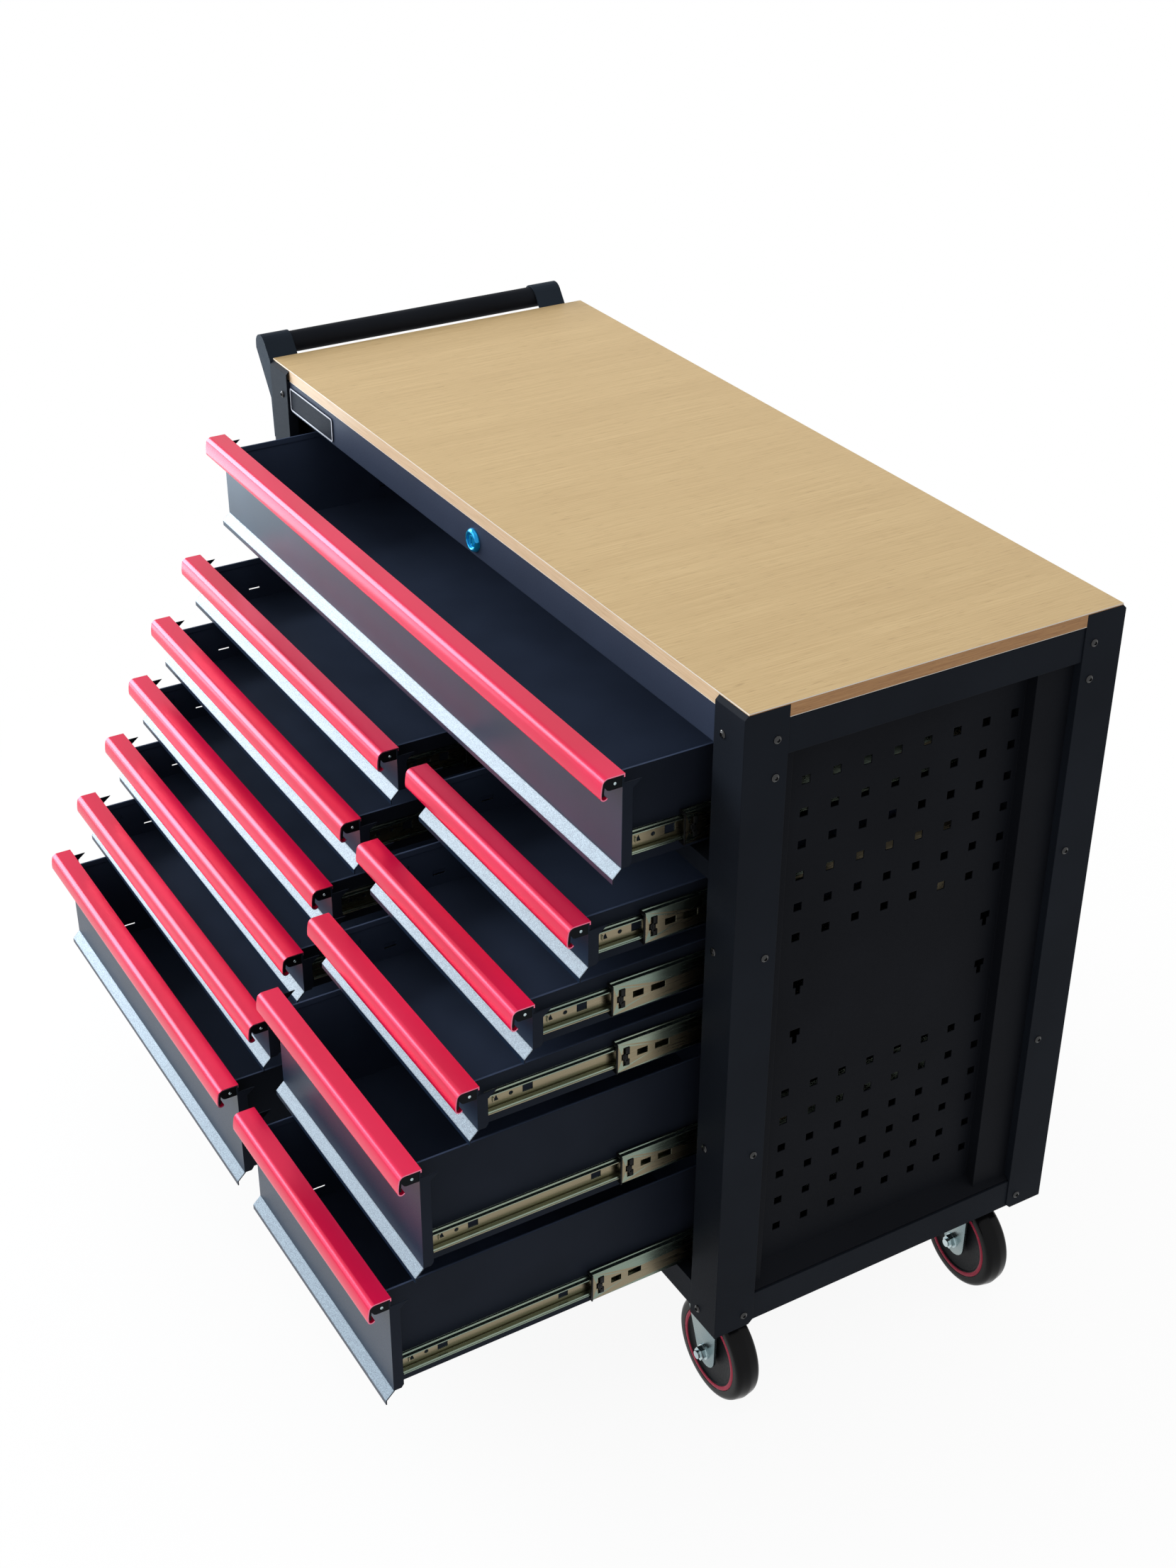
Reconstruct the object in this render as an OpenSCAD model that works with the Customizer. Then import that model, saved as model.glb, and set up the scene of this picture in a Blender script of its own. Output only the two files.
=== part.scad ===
// Rolling tool chest: twelve drawers on ball-bearing slides, wood worktop,
// four corner posts, perforated end panels, push handle and four casters.
// Millimetres. X runs along the width (push handle at -X), Y runs from front
// to back (drawers open towards -Y), Z is up, the floor is Z = 0. The origin
// is the floor point under the middle of the overall box.

/* [Cabinet] */
// width over the corner posts, also the length of the worktop
top_w = 1094; // [900:1:1300]
// room behind the slides, up to the rear edge of the worktop
rear_room = 46; // [40:1:120]
// thickness of the worktop board
top_t = 16; // [12:1:25]
// width of the front flange of a corner post
post_w = 50; // [45:1:56]
// width of the side flange of a corner post
post_side = 52; // [46:1:58]
// how far the posts stand proud of the worktop and rails
post_proud = 4.5; // [3:0.5:6]
// height of the top rail under the worktop
rail_h = 41; // [38:1:50]
// height of the bottom rails above the foot of the posts
skirt_top = 40; // [38:1:50]
// depth of the pressed field in the end panels
recess = 15; // [8:1:18]

/* [Drawers] */
// height of one drawer unit, the pitch of the shallow drawers
unit = 77; // [74:1:90]
// height of the front of the full-width drawer, lip included
wide_front = 123.4; // [110:0.2:150]
// gap between one drawer front and the next
front_gap = 6.5; // [5:0.5:9]
// width of the left column of drawers
left_w = 578.5; // [500:0.5:600]
// free width between the two columns
divider_w = 46; // [44:1:60]
// gap between the drawer fronts and the outside of the cabinet
front_inset = 59.5; // [58:0.5:64]
// how far a drawer box reaches past the closed end of its slide
box_over = 6; // [2:1:14]
// thickness of the drawer sheet
sheet = 1.2; // [0.8:0.1:1.5]
// drop of the drawer walls below the top of the front
wall_drop = 12; // [10:0.5:16]
// depth of the drawer floor below the start of the lip
floor_drop = 15.5; // [4:0.5:16]
// distance of the slides from the ends of a drawer front
slide_inset = 9.7; // [6:0.1:12]
// height of the flared lip at the foot of a drawer front
lip_h = 15.8; // [12:0.2:20]

/* [Drawer openings] */
// opening of the full-width drawer
open_wide = 100.4; // [0:0.1:390]
// openings of the left drawers, top to bottom
open_left = [148.4, 198.3, 237.6, 278.9, 326.7, 371.3];
// openings of the right drawers, top to bottom
open_right = [137.1, 200.5, 264.1, 330.8, 371.4];
// share of the travel that the middle slide member makes, wide drawer
share_wide = 0.39; // [0.3:0.01:0.6]
// share of the travel of the middle members, left drawers
share_left = [0.5, 0.5, 0.5, 0.45, 0.45, 0.4];
// share of the travel of the middle members, right drawers
share_right = [0.61, 0.6, 0.43, 0.32, 0.38];

/* [Slides] */
// length of a closed slide
slide_len = 400; // [380:10:500]
// height of the outer member
slide_h = 45; // [43:0.5:46]
// thickness of the slide, cabinet face to drawer wall
slide_t = 12.7; // [12.5:0.1:13.5]
// height of the middle member
mid_h = 37.5; // [36.5:0.5:38]
// height of the inner member
inner_h = 24; // [23:0.5:26]
// thickness of the slide strip
strip = 1.2; // [1:0.1:1.4]
// height of the slide centre above the start of the lip
slide_rise = 13.2; // [11:0.1:20]

/* [Pulls] */
// depth of a pull in front of the drawer front
pull_d = 24.6; // [20:0.2:28]
// height of a pull
pull_h = 24.6; // [22:0.2:28]
// wall thickness of the pull extrusion
pull_t = 1.3; // [1.2:0.1:2]
// drop of the pull's rear lip behind the drawer front
pull_lip = 4; // [3:0.5:6]

/* [End panels] */
// pitch of the square perforations
hole_pitch = 38; // [30:1:38]
// side of a square perforation
hole_a = 10; // [8:0.5:12]
// rows in each group of perforations
hole_rows = 6; // [3:1:6]
// columns of perforations
hole_cols = 8; // [4:1:8]

/* [Casters] */
// wheel diameter
wheel_d = 130; // [110:1:134]
// tread width
wheel_w = 31; // [26:1:34]
// depth of the axles below the foot of the posts
axle_drop = 73; // [71:1:80]
// distance of the caster centres from the ends of the cabinet
caster_x = 48.5; // [47:0.5:60]
// distance of the front caster centres behind the worktop edge
caster_front = 38; // [37:0.5:60]
// distance of the rear caster centres before the worktop edge
caster_rear = 60; // [50:0.5:80]
// trail of the swivel casters
trail = 30; // [20:1:34]

/* [Push handle] */
// diameter of the grip tube
grip_d = 28; // [25:1:32]
// distance of the grip axis from the end of the cabinet
grip_out = 28; // [24:1:40]
// height of the grip axis above the worktop
grip_up = 7; // [0:1:15]
// width of each bracket
bracket_w = 40; // [30:1:48]
// distance of the rear bracket from the rear edge
bracket_rear = 24; // [20:1:60]

/* [Lock] */
// diameter of the lock bezel
lock_d = 28; // [22:1:30]
// distance of the lock from the middle of the rail
lock_x = 4; // [-60:1:60]

/* [Hidden] */
NAMES = ["wide", "l1", "l2", "l3", "l4", "l5", "l6", "r1", "r2", "r3", "r4",
         "r5"];
FIXED = ["worktop", "corner_posts", "side_panel_left", "side_panel_right",
         "back_panel", "top_frame", "inner_frame",
         "base_tray", "slide_outers", "lock_body",
         "lock_core", "badge_plate", "handle_brackets", "grip_tube",
         "screws", "caster_mounts", "swivel_fork_front",
         "swivel_fork_rear", "wheel_front_right", "wheel_rear_right",
         "wheel_front_left", "wheel_rear_left", "brake_pedal_front",
         "brake_pedal_rear"];

$fn = 48;
e = 0.01;
hw = top_w/2;
skin = 1.5;
// column of drawers, measured from the foot of the posts
col_base = skirt_top + front_gap - 0.5;
col_top = col_base + 7*unit - front_gap;
cross_lo = col_top + front_gap;
cross_hi = cross_lo + 21;
wide_top = cross_hi + front_gap + wide_front;
rail_lo = wide_top + front_gap + 1.3;
rail_hi = rail_lo + rail_h;
body_h = rail_hi + top_t;
caster_h = wheel_d/2 + axle_drop;
face_x = hw - front_inset;
div_l = -face_x + left_w;
div_r = div_l + divider_w;
right_w = face_x - div_r;
floor_z = 18;
slide_y = 18;
mid_y = 20;
mid_len = slide_len - 10;
inner_y = 19;
// first upright, behind the returns of the drawer fronts
frame_y = 26;
top_d = slide_y + slide_len + rear_room;
box_d = inner_y + slide_len + box_over;
border_x = hw - 10.5;
panel_t = 1.2;
y_back = top_d + post_proud;

// one drawer: [x of its left end, width, height of its top, front height
// down to the lip, opening, share of the travel of the middle members]
function shallow() = unit - front_gap - lip_h;
function deep() = 2*unit - front_gap - lip_h;
DRAWERS = concat(
  [[-face_x, 2*face_x, wide_top, wide_front - lip_h, open_wide,
    share_wide]],
  [for (i = [0:5]) [-face_x, left_w, col_top - i*unit,
    i == 5 ? deep() : shallow(), open_left[i], share_left[i]]],
  [for (i = [0:4]) [div_r, right_w, col_top - (i == 4 ? 5 : i)*unit,
    i >= 3 ? deep() : shallow(), open_right[i], share_right[i]]]);
function slide_z(d) = d[2] - d[3] + slide_rise;

// overall box, for the origin
x_lo = -hw - grip_out - grip_d/2 - 2;
x_hi = hw + 2.4;
y_lo = -max(concat([open_wide], open_left, open_right)) - pull_d;
y_hi = y_back + 2.4;

module placed(dy = 0)
  translate([-(x_lo + x_hi)/2, -(y_lo + y_hi)/2 + dy, caster_h]) children();

// extrudes a drawing made in the Y-Z plane along X
module along_x(x, w)
  translate([x, 0, 0]) rotate([90, 0, 90]) linear_extrude(w) children();
// extrudes a drawing made in the X-Z plane along Y
module along_y(y, d)
  translate([0, y + d, 0]) rotate([90, 0, 0]) linear_extrude(d) children();

function unitv(v) = v/norm(v);
function side(a, b) = let (v = unitv(b - a)) [-v[1], v[0]];
function corner(p, i) = i == 0 ? side(p[0], p[1])
  : i == len(p) - 1 ? side(p[i-1], p[i])
  : let (a = side(p[i-1], p[i]), b = side(p[i], p[i+1]), m = a + b)
    m*2/(m*m);
// folded strip of thickness t that lies to the left of the path p
module strip_of(p, t) polygon(concat(p,
  [for (i = [len(p)-1:-1:0]) p[i] + t*corner(p, i)]));
function arc(c, r, a, b, n = 6) =
  [for (i = [0:n]) let (q = a + (b - a)*i/n) c + r*[cos(q), sin(q)]];

// ---------------------------------------------------------------- worktop
module worktop() color([0.83, 0.71, 0.52]) placed() difference() {
  translate([-hw, 0, rail_hi]) cube([top_w, top_d, top_t]);
  // rebates for the posts, under the skin that runs over them
  for (s = [0, 1], q = [0, 1]) mirror([s, 0, 0])
    translate([0, q*top_d, rail_hi - 1]) mirror([0, q, 0]) {
      translate([hw - skin, -1, 0])
        cube([skin + 1, post_side - post_proud + 1, top_t - 1]);
      translate([hw - post_w, -1, 0]) cube([post_w + 1, skin + 1,
        top_t - 1]);
    }
}

// ----------------------------------------------------------- corner posts
// the front-right post; the others are its mirror images
module post() {
  zb = body_h - 2 - post_proud;
  // front flange, its inner return and the bevel that leans back to the top
  translate([hw - post_w, -post_proud, 0]) cube([post_w, skin, zb]);
  translate([hw - post_w, -post_proud, floor_z + skin])
    cube([skin, 13, rail_hi - floor_z - skin]);
  along_x(hw - post_w, post_w) polygon([[-post_proud, zb],
    [0, body_h - 2], [skin, body_h - 2], [skin - post_proud, zb]]);
  // side flange with its clipped foot
  along_x(hw - skin, skin) polygon([[-post_proud, 0], [-post_proud, zb],
    [0, body_h - 2], [post_side - post_proud, body_h - 2],
    [post_side - post_proud, 6], [post_side - post_proud - 6, 0]]);
  // inner return of the side flange, where the end panel lands
  translate([border_x, post_side - post_proud - skin, skirt_top + 2.5])
    cube([hw - border_x, skin, rail_lo - skirt_top - 2.5]);
}

module corner_posts() color([0.13, 0.14, 0.16]) placed()
  for (sx = [0, 1], sy = [0, 1])
    translate([0, sy*top_d, 0]) mirror([0, sy, 0]) mirror([sx, 0, 0])
      post();

// ------------------------------------------------------------- end panels
module keyhole() {
  translate([-1, -6.5, -4.5]) cube([5, 13, 9]);
  translate([-1, -3, -14]) cube([5, 6, 10]);
}

// right end panel: a border round a pressed field with sloped head; the
// slope at its foot runs on to the skirt. Two groups of perforations with
// four keyholes between them
module end_panel() {
  fx = border_x - recess;
  xa = hw - 4;
  k = 14.9/(xa - fx);
  head = 14;
  wl = panel_t*norm([1, k]);
  wh = panel_t*norm([recess, head])/recess;
  lo = skirt_top + 2.6 + wl;
  field_hi = rail_lo - wh - 0.4;
  function foot(x) = lo + k*(xa - x);
  function top(x) = field_hi + head*(x - border_x)/recess;
  y0 = 62;
  y1 = top_d - 96;
  c = (y0 + y1)/2 + 9;
  ya = post_side - post_proud;
  top_row = field_hi - 52;
  module pan(x, t) along_y(y0 - t, y1 - y0 + 2*t) polygon([
    [x, foot(x) - (t > 0 ? wl : 0)],
    [fx - t, foot(fx - t) - (t > 0 ? wl : 0)],
    [fx - t, top(fx - t) + (t > 0 ? wh : 0)],
    [x, top(x) + (t > 0 ? wh : 0)]]);
  difference() {
    union() {
      translate([border_x - panel_t, ya - skin, foot(border_x) - wl])
        cube([panel_t, top_d - 2*(ya - skin),
              rail_lo - foot(border_x) + wl]);
      along_y(ya + 0.1, top_d - 2*ya - 0.2) polygon([[xa, lo],
        [border_x - 0.6, foot(border_x - 0.6)],
        [border_x - 0.6, foot(border_x - 0.6) - wl], [xa, lo - wl]]);
      pan(border_x - 0.4, panel_t);
    }
    pan(border_x + 1, 0);
    for (i = [0:hole_cols-1], j = [0:hole_rows-1], g = [0, 1])
      translate([fx - 3, c + (i - (hole_cols - 1)/2)*hole_pitch - hole_a/2,
                 top_row - j*hole_pitch - g*395 - hole_a/2])
        cube([6, hole_a, hole_a]);
    for (s = [-1, 1], g = [0, 1])
      translate([fx - 2, c + s*125.4, top_row - 251.5 - g*64.5]) keyhole();
  }
}

module side_panel_right() color([0.14, 0.15, 0.17]) placed() end_panel();
module side_panel_left() color([0.14, 0.15, 0.17]) placed()
  mirror([1, 0, 0]) end_panel();

// ------------------------------------------------------------- back panel
module back_panel() color([0.14, 0.15, 0.17]) placed() {
  translate([-hw + post_w, top_d - 3.7, skirt_top])
    cube([top_w - 2*post_w, 1.2, rail_lo - skirt_top]);
  // two pressed ribs stiffen the sheet
  for (x = [-hw/3, hw/3]) along_x(x - 20, 40) polygon([
    [top_d - 2.5, 120], [top_d - 0.5, 130], [top_d - 0.5, rail_lo - 130],
    [top_d - 2.5, rail_lo - 120]]);
}

// ---------------------------------------------------------- welded frames
// channel rail: web at y = 0, flanges towards +Y
module rail(x, w, z0, z1, f = 15) {
  translate([x, 0, z0]) cube([w, skin, z1 - z0]);
  for (z = [z0, z1 - skin]) translate([x, 0, z]) cube([w, f, skin]);
}

module top_frame() color([0.13, 0.14, 0.16]) placed() {
  inx = hw - post_w;
  difference() {
    rail(-inx, 2*inx, rail_lo, rail_hi);
    translate([lock_x, -1, rail_hi - 23]) rotate([-90, 0, 0])
      cylinder(d = 19.4, h = 4);
  }
  translate([0, top_d, 0]) mirror([0, 1, 0])
    rail(-inx, 2*inx, rail_lo, rail_hi);
  // end bands, seen above the end panels
  for (s = [0, 1]) mirror([s, 0, 0]) {
    translate([hw - 2*skin, 0, rail_lo]) cube([skin, top_d, rail_h]);
    for (z = [rail_lo, rail_hi - skin])
      translate([hw - 18, 13, z]) cube([15.1, top_d - 26, skin]);
  }
}

// cross rail and shelf under the full-width drawer
module cross_rail() {
  inx = hw - post_w;
  rail(-inx, 2*inx, cross_lo, cross_hi, 13);
  translate([-face_x, 10, cross_hi - skin])
    cube([2*face_x, top_d - 14, skin]);
  translate([-face_x, top_d - 5.2, cross_lo])
    cube([2*face_x, skin, cross_hi - cross_lo]);
}

// hollow divider between the columns
module divider() {
  zf = skirt_top;
  in = slide_inset;
  y_end = slide_y + slide_len;
  // front strip with its two side returns that step out to the slide walls
  translate([div_l + 6, 0, zf]) cube([divider_w - 12, skin,
    cross_lo - zf]);
  for (s = [0, 1]) translate([div_l + s*divider_w, 0, 0])
    mirror([s, 0, 0]) {
      translate([6, 0, zf]) cube([skin, frame_y, cross_lo - zf]);
      translate([-in, frame_y - skin, zf])
        cube([in + 6 + skin, skin, cross_lo - zf]);
      translate([-in, frame_y - skin, floor_z + skin])
        cube([skin, y_end - frame_y + 2*skin, cross_lo - floor_z - skin]);
    }
  // rear closing strip
  translate([div_l - in + skin, y_end, floor_z + skin])
    cube([divider_w + 2*(in - skin), skin, cross_lo - floor_z - skin]);
}

// folded floor with the four skirts and two caster reinforcements
module base_tray() color([0.13, 0.14, 0.16]) placed() {
  inx = hw - post_w;
  translate([-hw + 3, 0, floor_z]) cube([top_w - 6, top_d, skin]);
  for (s = [0, 1]) translate([0, s*top_d, 0]) mirror([0, s, 0]) {
    translate([-inx, 0, 3.5]) cube([2*inx, skin, skirt_top - 3.5]);
    translate([-inx, 0, skirt_top - skin]) cube([2*inx, 15, skin]);
    translate([-inx, 0, 3.5]) cube([2*inx, 6, skin]);
  }
  for (s = [0, 1]) mirror([s, 0, 0]) {
    translate([hw - 2*skin, 0, 3.5]) cube([skin, top_d,
      skirt_top - 1]);
    translate([border_x - panel_t, 8, skirt_top + 1])
      cube([hw - skin - border_x + panel_t, top_d - 16, skin]);
    // channel along the end, above the caster plates
    for (x = [hw - 100, hw - 24]) translate([x, 14, floor_z])
      cube([skin, top_d - 28, 14]);
  }
}

// upright channels that carry the outer slide members
module uprights() {
  xu = face_x - slide_inset;
  for (s = [0, 1]) mirror([s, 0, 0])
    for (y = [frame_y, slide_y + slide_len - 52]) {
      translate([xu, y, floor_z + skin])
        cube([skin, 34, rail_hi - skin - floor_z - skin]);
      for (q = [y, y + 34 - skin]) translate([xu, q, floor_z + skin])
        cube([border_x - recess - 3.5 - xu, skin,
              rail_hi - skin - floor_z - skin]);
      // foot tab
      translate([xu, y, floor_z + skin]) cube([30, 34, 2]);
    }
}

module inner_frame() color([0.13, 0.14, 0.16]) placed() {
  cross_rail();
  divider();
  uprights();
}

// ------------------------------------------------------------------ slides
// half sections in (depth, height); depth 0 is the cabinet side and
// slide_t the drawer wall. Both flanges carry a ball groove.
function outer_half() = let (h = slide_h/2, s = strip)
  [[0, 0], [0, h], [10.9, h], [10.9, h - s - 0.5], [9.9, h - s - 0.5],
   [9.9, h - s], [8.9, h - s], [8.6, h - s + 0.3], [5.4, h - s + 0.3],
   [5.1, h - s], [s, h - s], [s, 0]];
function mid_half() = let (h = mid_h/2, s = strip, a = 2*strip)
  [[a, 0], [a, h - 0.8], [a + 0.8, h], [5, h], [5.8, h - s], [8.4, h - s],
   [9.2, h], [10.9, h], [10.9, h - s], [9.8, h - s], [9, h - 2*s],
   [5.2, h - 2*s], [4.4, h - s], [a + s, h - s], [a + s, 0]];
function inner_half() = let (h = inner_h/2, s = strip, b = slide_t)
  [[b, 0], [b, h], [10.4, h], [9.4, h - s], [6.6, h - s], [5.6, h],
   [4.3, h], [4.3, h - s], [5.1, h - s], [6.1, h - 2*s], [9.9, h - 2*s],
   [10.9, h - s], [b - s, h - s], [b - s, 0]];
function flip(p) = [for (i = [len(p)-1:-1:0]) [p[i][0], -p[i][1]]];
module section(p) polygon(concat([for (i = [1:len(p)-1]) p[i]], [for (i =
  [len(p)-1:-1:1]) [p[i][0], -p[i][1]]]));

// a member of length l whose depth axis runs towards the drawer; s = 1 for
// a slide at the left of its drawer, -1 for one at the right
module member(p, x, s, y, l, z) translate([x, 0, z])
  mirror([s > 0 ? 0 : 1, 0, 0]) along_y(y, l) section(p);

module outer_member(x, s, z) difference() {
  member(outer_half(), x, s, slide_y, slide_len, z);
  for (y = [slide_y + 36, slide_y + 100, slide_y + slide_len - 90])
    translate([x - 2, y, z - 3.5]) cube([4, 18, 7]);
}

module slide_outers() color([0.66, 0.66, 0.62]) placed()
  for (d = DRAWERS) {
    outer_member(d[0] + slide_inset, 1, slide_z(d));
    outer_member(d[0] + d[1] - slide_inset, -1, slide_z(d));
  }

// middle member with its lever window, slots and the four ball cages
module mid_member(x, s, z) {
  w = s > 0 ? x + 1.5 : x - 5;
  difference() {
    member(mid_half(), x, s, mid_y, mid_len, z);
    // lever window
    translate([w, mid_y + 7, z - 12]) cube([3.5, 5, 24]);
    translate([w, mid_y + 5, z - 4]) cube([3.5, 3, 8]);
    // slots
    translate([w, mid_y + 24, z - 4]) cube([3.5, 13, 8]);
    translate([w, mid_y + 46, z - 4]) cube([3.5, 17, 8]);
    translate([w, mid_y + 300, z - 4]) cube([3.5, 30, 8]);
    // windows for the end stops
    for (y = [120, 210]) translate([w, mid_y + y, z - 3])
      cube([3.5, 20, 6]);
  }
  c = s > 0 ? x : x - 10.2;
  // outer cages run inside the outer member, inner ones hold the inner
  for (q = [-1, 1]) {
    translate([s > 0 ? x + 4.4 : x - 9.8, mid_y + mid_len - 138,
               z + (q > 0 ? mid_h/2 - 0.6 : -mid_h/2 - 2.1)])
      cube([5.4, 128, 2.7]);
    translate([s > 0 ? x + 4.6 : x - 10.2, mid_y + 6,
               z + (q > 0 ? inner_h/2 + 0.4 : -mid_h/2 + strip - 0.2)])
      cube([5.6, 112, (mid_h - inner_h)/2 - strip - 0.2]);
  }
}

// inner member, fixed to the drawer wall
module inner_member(x, s, z) {
  u = s > 0 ? x + slide_t - strip - 1 : x - slide_t - 1;
  difference() {
    member(inner_half(), x, s, inner_y, slide_len, z);
    translate([u, inner_y + 44, z - 5]) cube([strip + 2, 12, 10]);
    translate([u, inner_y + 193, z - 5]) cube([strip + 2, 12, 10]);
    translate([u, inner_y + 30.5, z]) rotate([0, 90, 0])
      cylinder(d = 5, h = strip + 2, $fn = 12);
    translate([u, inner_y + 9, z - 3]) rotate([90, 0, 90])
      linear_extrude(strip + 2) polygon([[0, 0], [7, 0], [4.5, 7]]);
  }
  // end stop and lanced hook
  translate([s > 0 ? x + slide_t - 3.4 : x - slide_t + strip, inner_y,
             z - 9]) cube([2.2, 1.2, 18]);
  translate([s > 0 ? x + slide_t - 3 : x - slide_t, inner_y + 9, z - 3])
    cube([3, 1.2, 6]);
}

// ------------------------------------------------------------ drawer boxes
// profile of the front: hemmed top, flat front and flared lip
module front_profile(h) union() {
  strip_of([[0, -pull_t - 0.4], [0, -h], [-lip_h*0.62, -h - lip_h*0.62],
            [-lip_h*0.62, -h - lip_h]], sheet);
  translate([sheet, -9]) square([1, 9 - pull_lip - 0.4]);
}

// side wall between the floor at z = -hb and its hemmed top edge
module box_wall(x, h, hb, in) difference() {
  union() {
    translate([x, sheet, -hb]) cube([sheet, box_d - sheet, hb - wall_drop]);
    translate([x + in*sheet, 4, -wall_drop - 7]) cube([sheet, box_d - 4, 7]);
  }
  // windows at the hooks of the slide, and the slit of its front catch
  for (y = [57, 206, 331]) translate([x - 2, y, -h - 0.2])
    cube([6, 15, 6.4]);
  translate([x - 2, 26.5, -h + 16]) cube([6, 1.6, 7]);
}

module drawer_box(i) {
  d = DRAWERS[i];
  w = d[1];
  h = d[3];
  hb = h + floor_drop;
  a = slide_inset + slide_t;
  color([0.14, 0.145, 0.16]) placed(-d[4]) translate([d[0], 0, d[2]]) {
    // front with a return at each end
    along_x(0, w) front_profile(h);
    for (x = [0, w - sheet]) along_x(x, sheet) polygon([[0.6, -11],
      [22, -11], [12, -19], [12, -h + 4], [9, -h], [0.6, -h]]);
    // floor, walls, inner front and back
    translate([a, sheet, -hb]) cube([w - 2*a, box_d - sheet, sheet]);
    box_wall(a, h, hb, 1);
    box_wall(w - a - sheet, h, hb, -1);
    translate([a, sheet, -hb]) cube([w - 2*a, sheet, floor_drop + 14]);
    translate([a, box_d - sheet, -hb])
      cube([w - 2*a, sheet, hb - wall_drop - 4]);
    translate([a + sheet, box_d - 2*sheet, -wall_drop - 11])
      cube([w - 2*a - 2*sheet, sheet, 7]);
    // front corners of the box, folded in behind the front
    for (x = [a + sheet, w - a - sheet - 10])
      translate([x, sheet, -hb + sheet])
        cube([10, sheet, hb - sheet - wall_drop - 2]);
  }
  // end caps of the pull, each held by one screw
  color([0.06, 0.06, 0.065]) placed(-d[4]) translate([d[0], 0, d[2]])
    for (x = [0.4, w - 2.9]) along_x(x, 2.5) cap_profile();
  // inner slide members
  color([0.7, 0.68, 0.55]) placed(-d[4]) {
    inner_member(d[0] + slide_inset, 1, slide_z(d));
    inner_member(d[0] + w - slide_inset, -1, slide_z(d));
  }
}

// ------------------------------------------------------------------- pulls
// path along the outside of the extrusion, rear lip to the hook
function pull_path() = let (d = pull_d, h = pull_h) concat(
  [[2.7, -pull_lip], [2.7, 0]],
  arc([-d + 9, -8], 8, 90, 158, 7),
  [[-d + 0.6, -h*0.42], [-d, -h*0.66]],
  arc([-d + 4.4, -h + 4.4], 4.4, 185, 330, 7));
module pull_profile() strip_of(pull_path(), pull_t);
// the cap: a plate under the flat top and a band down the inside of the nose
module cap_profile() let (d = pull_d, h = pull_h, t = pull_t + 0.3) {
  polygon(concat([[-0.1, -t]], arc([-d + 9, -8], 8 - t, 90, 158, 5),
    [[-d + t + 4, -h*0.44], [-d + t + 6, -h*0.56], [-d + t + 8.5, -h*0.6],
     [-0.1, -h*0.6]]));
  strip_of(concat(arc([-d + 9, -8], 8 - t, 110, 158, 4),
    [[-d + t + 0.6, -h*0.42], [-d + t, -h*0.66], [-d + t + 0.7, -h*0.8]]),
    2.6);
}

module pull_bar(i) {
  d = DRAWERS[i];
  color([0.85, 0.06, 0.2]) placed(-d[4]) translate([d[0], 0, d[2]])
    along_x(0, d[1]) pull_profile();
}

module mid_pair(i) {
  d = DRAWERS[i];
  color([0.68, 0.67, 0.6]) placed(-d[4]*d[5]) {
    mid_member(d[0] + slide_inset, 1, slide_z(d));
    mid_member(d[0] + d[1] - slide_inset, -1, slide_z(d));
  }
}

module drawer_wide() drawer_box(0);
module drawer_l1() drawer_box(1);
module drawer_l2() drawer_box(2);
module drawer_l3() drawer_box(3);
module drawer_l4() drawer_box(4);
module drawer_l5() drawer_box(5);
module drawer_l6() drawer_box(6);
module drawer_r1() drawer_box(7);
module drawer_r2() drawer_box(8);
module drawer_r3() drawer_box(9);
module drawer_r4() drawer_box(10);
module drawer_r5() drawer_box(11);
module pull_wide() pull_bar(0);
module pull_l1() pull_bar(1);
module pull_l2() pull_bar(2);
module pull_l3() pull_bar(3);
module pull_l4() pull_bar(4);
module pull_l5() pull_bar(5);
module pull_l6() pull_bar(6);
module pull_r1() pull_bar(7);
module pull_r2() pull_bar(8);
module pull_r3() pull_bar(9);
module pull_r4() pull_bar(10);
module pull_r5() pull_bar(11);
module slide_mid_wide() mid_pair(0);
module slide_mid_l1() mid_pair(1);
module slide_mid_l2() mid_pair(2);
module slide_mid_l3() mid_pair(3);
module slide_mid_l4() mid_pair(4);
module slide_mid_l5() mid_pair(5);
module slide_mid_l6() mid_pair(6);
module slide_mid_r1() mid_pair(7);
module slide_mid_r2() mid_pair(8);
module slide_mid_r3() mid_pair(9);
module slide_mid_r4() mid_pair(10);
module slide_mid_r5() mid_pair(11);

// -------------------------------------------------------------------- lock
lock_z = rail_hi - 23;
module lock_body() color([0.75, 0.78, 0.82]) placed()
  translate([lock_x, 0, lock_z]) rotate([-90, 0, 0]) difference() {
    union() {
      translate([0, 0, -5]) rotate_extrude() polygon([[0, 0],
        [lock_d/2 - 3, 0], [lock_d/2 - 1, 1.2], [lock_d/2, 3],
        [lock_d/2, 5], [0, 5]]);
      cylinder(d = 19, h = 22);
      translate([0, 0, skin]) cylinder(d = 25, h = 4, $fn = 6);
    }
    translate([0, 0, -6]) cylinder(d = 12.6, h = 40);
    translate([0, 0, -6]) cylinder(d = 18, h = 2.4);
  }

// turning core with its key slot and the cam that works the lock bar
module lock_core() color([0.8, 0.82, 0.85]) placed()
  translate([lock_x, 0, lock_z]) rotate([-90, 0, 0]) {
    difference() {
      translate([0, 0, -3.4]) cylinder(d = 12, h = 29.4);
      translate([-1, -4, -4]) cube([2, 8, 5]);
    }
    translate([0, 0, 22.6]) cylinder(d = 15, h = 3.4);
    translate([-5, 0, 23]) cube([10, 19, 2.5]);
  }

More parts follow.
